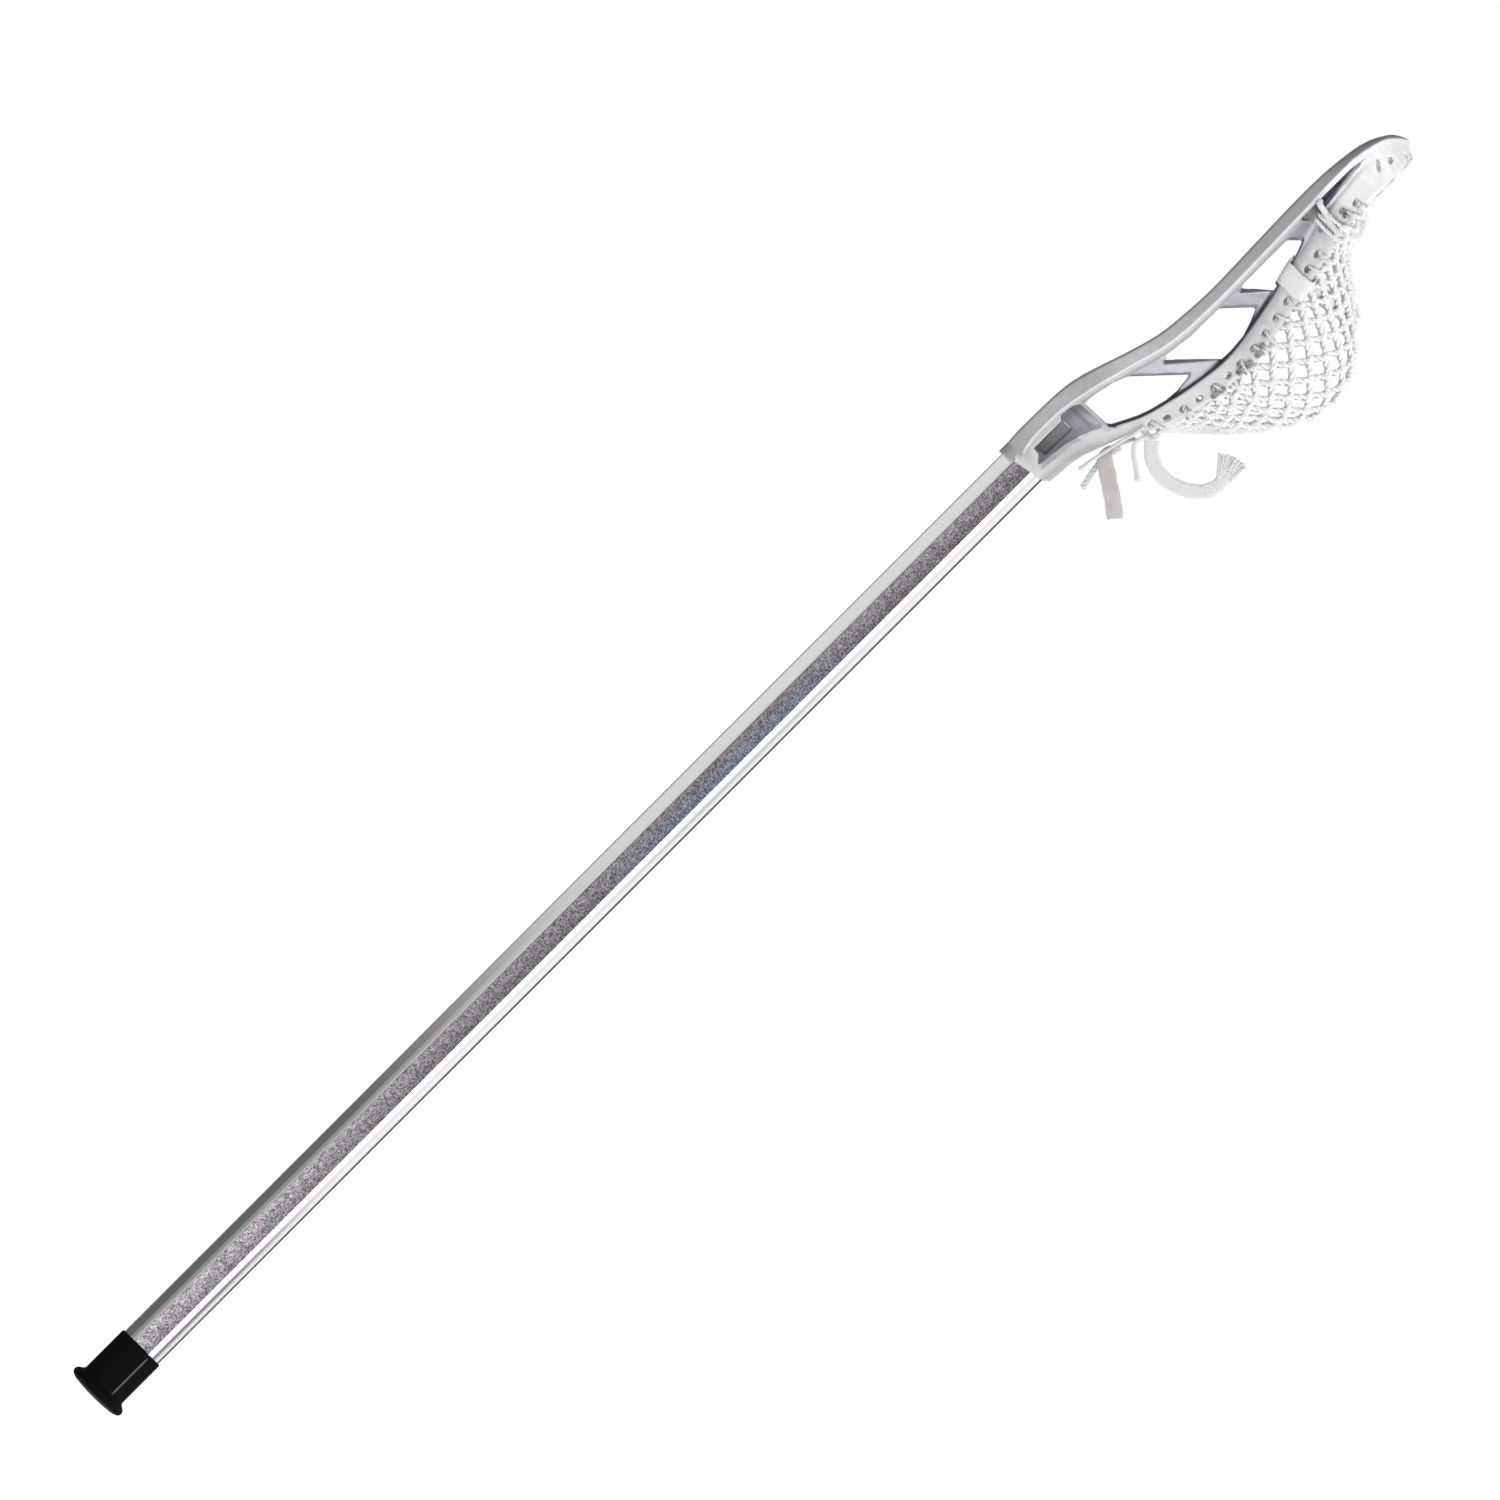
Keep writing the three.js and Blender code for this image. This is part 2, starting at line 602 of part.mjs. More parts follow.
function makePocketMesh() {
  const outside = [];
  const inside = [];
  for (let row = 0; row <= POCKET_ROWS; row += 1) {
    for (let column = 0; column <= POCKET_COLUMNS; column += 1) {
      const [across, along] = [(2 * column) / POCKET_COLUMNS - 1, row / POCKET_ROWS];
      const point = pocketPoint(across, along);
      outside.push(point);
      inside.push(point.clone().addScaledVector(pocketNormal(across, along), -POCKET.thickness));
    }
  }
  const stride = POCKET_COLUMNS + 1;
  const layer = outside.length;
  const indices = [];
  for (let row = 0; row < POCKET_ROWS; row += 1) {
    for (let column = 0; column < POCKET_COLUMNS; column += 1) {
      const a = row * stride + column;
      const [b, c, d] = [a + 1, a + stride + 1, a + stride];
      indices.push(a, c, b, a, d, c);
      indices.push(layer + a, layer + b, layer + c, layer + a, layer + c, layer + d);
    }
  }
  const rim = [];
  for (let column = 0; column < POCKET_COLUMNS; column += 1) rim.push(column);
  for (let row = 0; row < POCKET_ROWS; row += 1) rim.push(row * stride + POCKET_COLUMNS);
  for (let column = POCKET_COLUMNS; column > 0; column -= 1) rim.push(POCKET_ROWS * stride + column);
  for (let row = POCKET_ROWS; row > 0; row -= 1) rim.push(row * stride);
  rim.forEach((a, i) => {
    const b = rim[(i + 1) % rim.length];
    indices.push(a, b, layer + b, a, layer + b, layer + a);
  });
  const points = [...outside, ...inside];
  if (signedVolume([points], indices) < 0) {
    for (let i = 0; i < indices.length; i += 3) {
      [indices[i + 1], indices[i + 2]] = [indices[i + 2], indices[i + 1]];
    }
  }
  return solidFrom(points.flatMap((p) => [p.x, p.y, p.z]), indices);
}

// A flat lace laid across the face side of the pocket at the height where its ends meet the rails.
function makeShootingLace(height) {
  const along = (height - POCKET.throatZ - 1) / (POCKET.edgeTopZ - POCKET.throatZ - 1);
  const half = LACE.width / 2 / (POCKET.scoopZ - POCKET.throatZ);
  const near = -POCKET.thickness - 0.5;
  const far = near - LACE.thickness;
  const corners = [[-half, near], [half, near], [half, far], [-half, far]];
  const rings = [];
  for (let i = 0; i <= 20; i += 1) {
    const across = 0.95 * (i / 10 - 1);
    rings.push(corners.map(([shift, offset]) => (
      pocketPoint(across, along + shift).addScaledVector(pocketNormal(across, along + shift), offset)
    )));
  }
  return loft(rings, [[0, 0], [9, 0], [9, 1.4], [0, 1.4]]);
}

// A string beside the lower rail between two shares of the path.
function makeRailString(fromShare, toShare, steps, lift) {
  const route = [];
  for (let i = 0; i <= steps; i += 1) {
    const share = fromShare + ((toShare - fromShare) * i) / steps;
    const z = headPath.getPointAt(share).y;
    route.push(railPoint(share, STRING_INSET, backEdge(z) - HOLE.aboveEdge - lift));
  }
  const section = roundSection(STRING_RADIUS);
  const path = new THREE.CatmullRomCurve3(route);
  const rings = [];
  for (let i = 0; i <= steps; i += 1) {
    const tangent = path.getTangentAt(i / steps);
    const across = new THREE.Vector3(0, 1, 0).cross(tangent).normalize();
    const side = new THREE.Vector3().crossVectors(tangent, across);
    const centre = path.getPointAt(i / steps);
    rings.push(section.map(([u, v]) => centre.clone().addScaledVector(across, u).addScaledVector(side, v)));
  }
  return loft(rings, section);
}

function makeBottomString() {
  const section = roundSection(STRING_RADIUS);
  const rings = [];
  for (let i = 0; i <= 14; i += 1) {
    const x = 25.5 * (i / 7 - 1);
    const centre = new THREE.Vector3(x, 36.6 - 3 * (x / 25.5) ** 2, 797);
    rings.push(section.map(([u, v]) => new THREE.Vector3(centre.x, centre.y + u, centre.z + v)));
  }
  return loft(rings, section);
}

// The lace's turns round the lower rail: a closed band that follows the rail.
function makeLowerWrap(side) {
  const ring = (z, grow) => {
    const station = stationAt(shareAtHeight(z));
    const shift = lean(z);
    const [inner, outer] = [shift + LOWER_RAIL_WIDTH + grow, shift + 0.2 - grow];
    const [top, bottom] = [lowerRailTop(z) - grow, backEdge(z) + grow];
    const cut = 1.2;
    return [[outer + 1.6, top], [outer, top + 2], [outer, bottom - cut], [outer + cut, bottom],
      [inner - cut, bottom], [inner, bottom - cut], [inner, top + cut], [inner - cut, top]]
      .map(([inset, y]) => wallPoint(station, inset, y));
  };
  const shape = [[0, 1], [1, 0], [5, 0], [6, 1], [6, 9], [5, 10], [1, 10], [0, 9]];
  const heights = [0, 1, 2, 3].map((i) => WRAP.fromZ + ((WRAP.toZ - WRAP.fromZ) * i) / 3);
  const outside = loft(heights.map((z) => ring(z, WRAP.clear + WRAP.thickness)), shape);
  const insideHeights = [WRAP.fromZ - 2, ...heights, WRAP.toZ + 2];
  const band = outside.subtract(loft(insideHeights.map((z) => ring(z, WRAP.clear)), shape));
  return side > 0 ? geometryFrom(band) : mirrored(geometryFrom(band));
}

// The upper lace's turn: down the outside of the wall and under the lower rail, to its knot.
function makeUpperWrap(side) {
  const radius = 1.4;
  const outside = (z, y, inset) => {
    const point = wallPoint(stationAt(shareAtHeight(z)), inset, y);
    return [point.x, point.y, point.z];
  };
  const route = [outside(954.3, 13.6, 0.2), outside(953.2, 16.5, 1.2), outside(951.8, 20, 3),
    outside(950.4, 23.5, 3.4), outside(949.6, 28, 3.3), outside(949.4, 32.4, 3.3)];
  const geometry = geometryFrom(strand(route, roundSection(radius), 8));
  return side > 0 ? geometry : mirrored(geometry);
}

function makeLaceKnot(side) {
  const profile = [];
  for (let i = 0; i <= 8; i += 1) {
    const angle = (Math.PI * i) / 8;
    profile.push(new THREE.Vector2(3.7 * Math.sin(angle), -10 * Math.cos(angle)));
  }
  profile[0].x = 0;
  profile[8].x = 0;
  const knot = new THREE.LatheGeometry(profile, 10);
  knot.rotateX(Math.PI / 2 + 0.25);
  const z = 957.5;
  const centre = wallPoint(stationAt(shareAtHeight(z)), lean(z) + 2.8, backEdge(z) + 4.8);
  knot.translate(centre.x, centre.y, centre.z);
  knot.deleteAttribute('normal');
  knot.deleteAttribute('uv');
  const welded = mergeVertices(knot, 1e-3);
  return side > 0 ? welded : mirrored(welded);
}

// ---------------------------------------------------------------- assembly

const stick = new THREE.Group();
stick.name = 'lacrosse_stick';

function place(name, shape, finish) {
  const geometry = shape instanceof THREE.BufferGeometry ? shape : geometryFrom(shape);
  geometry.computeVertexNormals();
  const mesh = new THREE.Mesh(geometry, new THREE.MeshStandardMaterial({ name: finish, ...FINISH[finish] }));
  mesh.name = name;
  stick.add(mesh);
}

place('shaft_tube', makeTube(), 'aluminium');
place('end_cap', makeEndCap(), 'rubber');
place('head_frame', makeHeadFrame(), 'nylon');
place('head_screw', makeScrew(), 'steel');
place('ball_stop_pad', makeBallStopPad(), 'foam');
place('pocket_mesh', makePocketMesh(), 'cord');

const stringLow = shareAtHeight(804);
const stringHigh = shareAtHeight(972);
const topStart = shareAtHeight(984);
place('top_string', makeRailString(topStart, 1 - topStart, 28, -0.5), 'cord');
place('sidewall_string_right', makeRailString(stringLow, stringHigh, 26, 1.2), 'cord');
place('sidewall_string_left', makeRailString(1 - stringHigh, 1 - stringLow, 26, 1.2), 'cord');
place('bottom_string', makeBottomString(), 'cord');

place('shooting_lace_upper', makeShootingLace(LACE.upperZ), 'lace');
place('shooting_lace_lower', makeShootingLace(LACE.lowerZ), 'lace');
for (const [label, side] of [['right', 1], ['left', -1]]) {
  place(`lower_lace_wrap_${label}`, makeLowerWrap(side), 'lace');
  place(`upper_lace_wrap_${label}`, makeUpperWrap(side), 'cord');
  place(`lace_knot_${label}`, makeLaceKnot(side), 'cord');
}

for (const [name, { route, radius, flat, thickness, twist }] of Object.entries(TAILS)) {
  const section = flat ? flatSection(flat, thickness) : roundSection(radius);
  place(name, strand(route, section, flat ? 16 : 10, twist), flat ? 'lace' : 'cord');
}

export default stick;
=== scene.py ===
"""Looks of a men's field lacrosse stick: grained aluminium shaft, rubber butt cap, moulded white head,
knotted mesh pocket with its strings, woven laces and the free lace ends at the throat.

Lengths are millimetres in the tables and metres in Blender. Z runs up the shaft from the butt, X is across
the head and the pocket hangs to +Y.
"""

import math

import bmesh
import bpy
import numpy as np
from mathutils import Matrix, Vector


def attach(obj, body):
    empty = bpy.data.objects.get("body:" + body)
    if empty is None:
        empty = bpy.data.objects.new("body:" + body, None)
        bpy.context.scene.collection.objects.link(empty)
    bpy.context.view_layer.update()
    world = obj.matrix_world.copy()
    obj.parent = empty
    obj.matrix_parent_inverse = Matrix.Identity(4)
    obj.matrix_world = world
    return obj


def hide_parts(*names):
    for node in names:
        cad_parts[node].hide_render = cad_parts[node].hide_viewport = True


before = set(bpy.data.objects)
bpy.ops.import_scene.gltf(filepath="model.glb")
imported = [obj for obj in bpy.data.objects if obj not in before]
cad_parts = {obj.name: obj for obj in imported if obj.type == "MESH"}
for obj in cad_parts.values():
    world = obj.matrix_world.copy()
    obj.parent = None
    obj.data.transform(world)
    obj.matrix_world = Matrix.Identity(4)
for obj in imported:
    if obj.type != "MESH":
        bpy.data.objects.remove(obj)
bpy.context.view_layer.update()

MM = 0.001

# ---------------- dimensions shared with the CAD model, mm

# Head outline from the front, up one side to the middle of the scoop, as [half width, height].
OUTLINE = [
    [14.1, 738.6], [14.9, 744], [17.2, 756], [22, 768], [28, 780], [33, 790], [37.5, 802], [41, 826],
    [44.5, 860], [50.5, 890], [60.5, 920], [72, 950], [79.5, 975], [73, 997], [48, 1010], [0, 1016.3],
]
# Lines along the side wall, as [height, depth].
FRONT_EDGE = [
    [731, -15.5], [738, -15.5], [746, -16], [780, -15], [800, -10.4], [820, -3.9], [840, 1.6], [860, 3.8],
    [880, 4.6], [920, 3.5], [950, 2.8], [970, 3.3], [990, 5.5], [1000, 8], [1008, 12], [1012, 15],
    [1016.3, 21.5],
]
BAND_EDGE = [
    [738, -5.6], [752, -8], [770, -7.8], [790, -4.4], [812, 1.2], [842, 9], [875, 11], [930, 10.2],
    [965, 9.4], [985, 9.6], [1000, 12.4], [1008, 15.6], [1016.3, 23.6],
]
TOP_RAIL_LOWER = [
    [738, -3], [784, -1], [800, 2.2], [812, 5.8], [832, 11.6], [853, 14.6], [880, 15.1], [930, 14.4],
    [965, 12.2], [990, 13], [1000, 15.6], [1008, 19], [1016.3, 25.6],
]
LOWER_RAIL_TOP = [
    [738, 6.5], [752, 8], [770, 13.3], [784, 18], [800, 24.8], [820, 30.9], [840, 34.6], [857, 36.2],
    [875, 34.4], [903, 29.2], [930, 23.6], [946, 19.4], [970, 16.6], [990, 15.2], [1000, 17.6], [1008, 21],
    [1016.3, 27.4],
]
BACK_EDGE = [
    [731, 14.6], [740, 16.8], [758, 18.4], [769, 22.2], [777, 25], [784, 28], [791, 31.2], [802, 39],
    [820, 45.6], [841, 49.2], [861, 50.2], [882, 48.2], [903, 44], [924, 39.6], [945, 35], [965, 32.6],
    [990, 32.8], [1008, 32.3], [1016.3, 32],
]
LEAN = [[742, 0], [780, 1.5], [820, 4.5], [860, 5], [1016.3, 5.4]]
POCKET_DEPTH = [
    [797, 36.5], [807, 44.6], [817, 55.6], [835, 74], [855, 89.3], [870, 97.2], [882, 99], [894, 96.8],
    [904, 92.7], [913, 85.7], [921, 77.6], [936, 60.2], [944, 49.8], [954, 42.3], [964, 38.2], [975, 34.6],
    [1003, 30],
]
LOWER_RAIL_WIDTH = 5.6
# Outlines of the recesses in the side wall, as [height, depth].
SCOOP_RECESS = [[940.5, 12.2], [960, 11.9], [980, 12], [992, 13.4], [970, 16.4], [955, 19.9], [946, 19]]
THROAT_RECESS = [
    [740.7, 5.8], [746, 1], [746, -2.8], [768, -2.8], [770, -5.2], [778, -4.2], [781.6, -2], [781.8, 15.6],
    [770, 10.4], [760, 7.6], [750, 6.5],
]
POCKET = {"edge_inset": 11.2, "throat": 801, "scoop": 999, "edge_top": 977, "fullness": 2.3}
STRING_INSET = 3.6
HOLE_ABOVE_EDGE = 5
SHOOTING_LACE_HEIGHTS = {"lower": 912, "upper": 952}

# ---------------- dimensions of the looks, mm

MOST_TRIANGLES = 190000     # of one smoothed piece
NET_COLUMNS = 9 * 2         # half diamonds across
NET_ROWS = 15 * 2           # half diamonds along
NET_CORD_RADIUS = 1.95      # two plies twisted together
NET_DEPTH = -1.5            # from the pocket's outer surface to the middle of the net's cords
LACE_DEPTH = -4.2           # and to the middle of the shooting laces
NET_KNOT = {"radius": 2.25, "half_length": 3.0}
STRING_RADIUS = 1.25        # three plies
STRUNG_HOLES = [802, 820.5, 841.4, 861, 872, 882.4, 893, 903.6, 924.2, 933.9, 960.6, 969.2]
OPEN_HOLES = [810.5, 831, 851.3]
SCOOP_SLOTS = [-36, -13, 13, 36]

# Tone of the head's outer band along the head, as [height, tone]: painted shade, darkest towards the scoop.
BAND_TONE = [
    [735, 0.34], [772, 0.4], [795, 0.35], [820, 0.46], [850, 0.38], [885, 0.32], [940, 0.29], [965, 0.26],
    [1000, 0.22],
]

# Round free ends: radius, and how far the melted end swells. The one that doesn't swell is twisted.
ROUND_TAILS = {"thin_tail": (1.0, 0.35), "short_thick_tail": (1.8, 0), "hanging_tail": (1.3, 0.45)}
# Free lace ends: points along each centre line.
TAILS = {
    "throat_lace_tail": [
        [24.8, 33.4, 790], [24.6, 31.1, 785], [24.5, 28.9, 779.5], [24.6, 27.6, 774.5], [24.8, 29.4, 770],
        [25.4, 36, 765.3], [26.1, 41.4, 761.6], [26.7, 46.9, 758], [27, 52.2, 754.2], [27.1, 57.1, 750.3],
    ],
    "curled_lace_tail": [
        [26, 40.9, 795.6], [26, 45.5, 790.4], [26.2, 52.1, 786.7], [26.5, 59.4, 785.6], [27, 66.6, 786.8],
        [27.5, 73.8, 789.8], [28, 79, 793.7], [28.5, 83, 798.9], [29, 84.7, 804.9], [29.3, 83.6, 810.4],
        [29.4, 82.8, 812.8],
    ],
    "thin_tail": [
        [35.2, 32.1, 798], [33.4, 31.1, 791.1], [31.8, 29.2, 784], [31, 27.9, 778.4], [30.2, 26.6, 772],
        [29.4, 25.2, 766], [28.4, 24.2, 760], [27.6, 23.6, 755.2],
    ],
    "short_thick_tail": [
        [17.6, 31, 781], [17.8, 29.8, 775], [18.2, 28.9, 769], [18.6, 29.3, 762], [19, 30.8, 755],
        [19.3, 32.2, 749.5],
    ],
    "hanging_tail": [
        [31.4, 38, 795.8], [31.4, 35.7, 792.2], [31.3, 35.2, 788], [31.2, 38.9, 783], [31.2, 44.6, 778.8],
        [31.2, 51.4, 773.8],
    ],
}


def in_scene(name, data):
    """A new object with that data, in the scene."""
    made = bpy.data.objects.new(name, data)
    bpy.context.scene.collection.objects.link(made)
    return made


# ---------------- camera

def add_camera():
    lens, sensor, width_at_stick = 1000, 36, 0.838
    data = bpy.data.cameras.new("camera")
    data.lens = lens
    data.sensor_width = sensor
    data.clip_end = 100
    camera = in_scene("camera", data)
    half = math.sqrt(0.5)
    right, up, back = Vector((0, half, half)), Vector((0, -half, half)), Vector((1, 0, 0))
    middle = Vector((0, 0.0043, 0.515))
    camera.matrix_world = Matrix((right, up, back)).transposed().to_4x4()
    camera.location = middle + back * (width_at_stick * lens / sensor)
    bpy.context.scene.camera = camera


add_camera()


# ---------------- curves and frames

def curve(points):
    """A smooth function through [position, value] points, with no overshoot between them."""
    at, value = np.array(points, float).T
    before = np.maximum(np.arange(len(at)) - 1, 0)
    after = np.minimum(np.arange(len(at)) + 1, len(at) - 1)
    slopes = (value[after] - value[before]) / (at[after] - at[before])

    def value_at(position):
        x = min(max(position, at[0]), at[-1])
        i = min(int(np.searchsorted(at, x, "right")) - 1, len(at) - 2)
        span, rise = at[i + 1] - at[i], value[i + 1] - value[i]
        t = (x - at[i]) / span
        bound = 3 * abs(rise)
        start = min(max(slopes[i] * span, -bound), bound)
        end = min(max(slopes[i + 1] * span, -bound), bound)
        return (value[i] + (3 * t * t - 2 * t ** 3) * rise + (t ** 3 - 2 * t * t + t) * start
                + (t ** 3 - t * t) * end)

    return value_at


front_edge = curve(FRONT_EDGE)
band_edge = curve(BAND_EDGE)
top_rail_lower = curve(TOP_RAIL_LOWER)
lower_rail_top = curve(LOWER_RAIL_TOP)
back_edge = curve(BACK_EDGE)
lean = curve(LEAN)
pocket_depth = curve(POCKET_DEPTH)


def smoothstep(value, low=0.0, high=1.0):
    t = np.clip((value - low) / (high - low), 0, 1)
    return t * t * (3 - 2 * t)


def falloff(value, low, high):
    return 1 - smoothstep(value, low, high)


def unit(vectors):
    return vectors / np.maximum(np.linalg.norm(vectors, axis=-1, keepdims=True), 1e-12)


def lengths_along(points):
    steps = np.linalg.norm(np.diff(points, axis=0), axis=1)
    return np.concatenate([[0], np.cumsum(steps)])


def resample(points, count):
    """The same line with evenly spaced points."""
    points = np.asarray(points, float)
    along = lengths_along(points)
    wanted = np.linspace(0, along[-1], count)
    return np.stack([np.interp(wanted, along, points[:, k]) for k in range(points.shape[1])], 1)


def spline(points, step, power=0.5):
    """A Catmull-Rom line through the points, resampled about every step. Power 0.5 is centripetal."""
    points = np.asarray(points, float)
    padded = np.vstack([2 * points[0] - points[1], points, 2 * points[-1] - points[-2]])
    line = []
    for p0, p1, p2, p3 in zip(padded, padded[1:], padded[2:], padded[3:]):
        d1, d2, d3 = (max(np.linalg.norm(b - a) ** power, 1e-9) for a, b in ((p0, p1), (p1, p2), (p2, p3)))
        start = ((p1 - p0) / d1 - (p2 - p0) / (d1 + d2) + (p2 - p1) / d2) * d2
        end = ((p2 - p1) / d2 - (p3 - p1) / (d2 + d3) + (p3 - p2) / d3) * d2
        for t in np.linspace(0, 1, 24, endpoint=False):
            line.append((2 * t ** 3 - 3 * t * t + 1) * p1 + (t ** 3 - 2 * t * t + t) * start
                        + (3 * t * t - 2 * t ** 3) * p2 + (t ** 3 - t * t) * end)
    line.append(points[-1])
    line = np.array(line)
    return resample(line, max(int(round(lengths_along(line)[-1] / step)), 4) + 1)


def tangents(line):
    return unit(np.gradient(line, axis=0))


def carried_frame(line):
    """Two directions square to the line that turn as little as possible along it."""
    along = tangents(line)
    side = np.array([0.31, 0.52, 0.79])
    across = []
    for t in along:
        side = side - t * side.dot(t)
        side = side / max(np.linalg.norm(side), 1e-12)
        across.append(side)
    across = np.array(across)
    return across, np.cross(along, across)


# ---------------- the head's side wall and the pocket surface

def head_line():
    """The outline from the +X throat over the scoop to the -X throat, with inward directions, as arrays."""
    whole = OUTLINE + [[-x, z] for x, z in reversed(OUTLINE[:-1])]
    line = spline(whole, 0.5, power=0)
    along = tangents(line)
    return line, np.stack([-along[:, 1], along[:, 0]], 1)


HEAD_LINE, HEAD_INWARD = head_line()
HEAD_MIDDLE = len(HEAD_LINE) // 2


def station(height, side=1):
    """The index on the outline at that height, on the +X side or the -X side."""
    near = int(np.searchsorted(HEAD_LINE[:HEAD_MIDDLE, 1], height))
    near = min(max(near, 1), HEAD_MIDDLE - 1)
    return near if side > 0 else len(HEAD_LINE) - 1 - near


def wall_point(index, inset, depth):
    """A point inset from the outline at that depth."""
    x, z = HEAD_LINE[index] + HEAD_INWARD[index] * inset
    return np.array([x, depth, z])


def rail_place(height, inset, depth, side):
    """A point by the lower rail: inset counts inward from its outer face, depth from its back edge."""
    return wall_point(station(height, side), lean(height) + inset, back_edge(height) + depth)


def below_open_holes(height):
    """How far the stringing sags by the holes it doesn't pass through, which stay clear."""
    return 4.5 * max(math.exp(-((height - hole) / 4.5) ** 2) for hole in OPEN_HOLES)


def pocket_point(across, along):
    """The pocket's outer surface: across from -1 to 1, along from 0 at the throat to 1 at the scoop."""
    edge_height = POCKET["throat"] + 1 + (POCKET["edge_top"] - POCKET["throat"] - 1) * along
    middle_height = POCKET["throat"] + (POCKET["scoop"] - POCKET["throat"]) * along
    edge = wall_point(station(edge_height), lean(edge_height) + POCKET["edge_inset"], 0)
    edge_depth = back_edge(edge_height) - 4
    edge_depth += below_open_holes(edge_height) * smoothstep(abs(across), 0.75, 1)
    full = 1 - abs(across) ** POCKET["fullness"]
    return np.array([
        edge[0] * across,
        edge_depth + (pocket_depth(middle_height) - edge_depth) * full,
        middle_height + (edge[2] - middle_height) * across ** 2,
    ])


class PocketSurface:
    """The pocket by shares of its real length, u across and v along, with the outward direction."""

    def __init__(self, rows=121, columns=97):
        even = np.linspace(0, 1, 400)
        run = lengths_along(np.array([pocket_point(0, share) for share in even]))
        self.shares = np.interp(np.linspace(0, run[-1], rows), run, even)
        grid = []
        for share in self.shares:
            row = np.array([pocket_point(across, share) for across in np.linspace(-1, 1, 161)])
            grid.append(resample(row, columns))
        self.grid = np.array(grid)
        along, across = np.gradient(self.grid, axis=0), np.gradient(self.grid, axis=1)
        self.normals = unit(np.cross(along, across))
        if self.normals[rows // 2, columns // 2, 1] < 0:
            self.normals = -self.normals

    def sample(self, u, v, offset=0.0):
        rows, columns = self.grid.shape[:2]
        x = np.clip(np.asarray(u, float), 0, 1) * (columns - 1)
        y = np.clip(np.asarray(v, float), 0, 1) * (rows - 1)
        i, j = np.minimum(y.astype(int), rows - 2), np.minimum(x.astype(int), columns - 2)
        fy, fx = (y - i)[..., None], (x - j)[..., None]

        def blend(table):
            return ((table[i, j] * (1 - fx) + table[i, j + 1] * fx) * (1 - fy)
                    + (table[i + 1, j] * (1 - fx) + table[i + 1, j + 1] * fx) * fy)

        normal = unit(blend(self.normals))
        return blend(self.grid) + normal * np.asarray(offset)[..., None], normal


# ---------------- meshes from swept sections

def circle(radius, sides):
    angles = np.arange(sides) * 2 * math.pi / sides
    return np.stack([np.cos(angles), np.sin(angles)], 1) * radius


def flat_section(width, thickness, columns, ribs=0, rib_depth=0.0):
    """A flat lace's section, with lengthwise ribs on both faces."""
    x = np.linspace(-1, 1, columns * 2 + 1)
    half = thickness / 2 * np.sqrt(np.clip(1 - np.abs(x) ** 6, 0, 1))
    if ribs:
        half = half - rib_depth * (0.5 - 0.5 * np.cos(2 * math.pi * ribs * (x + 1) / 2)) * (np.abs(x) < 0.97)
    top = np.stack([x * width / 2, half], 1)
    bottom = np.stack([x[1:-1] * width / 2, -half[1:-1]], 1)[::-1]
    return np.vstack([top, bottom])


def rounded_ends(line, radius):
    """Scale along the line that closes both ends with a round nose."""
    along = lengths_along(line)
    near_end = np.minimum(along, along[-1] - along) / radius
    return np.sqrt(np.clip(1 - (1 - np.clip(near_end, 0, 1)) ** 2, 0.02, 1))


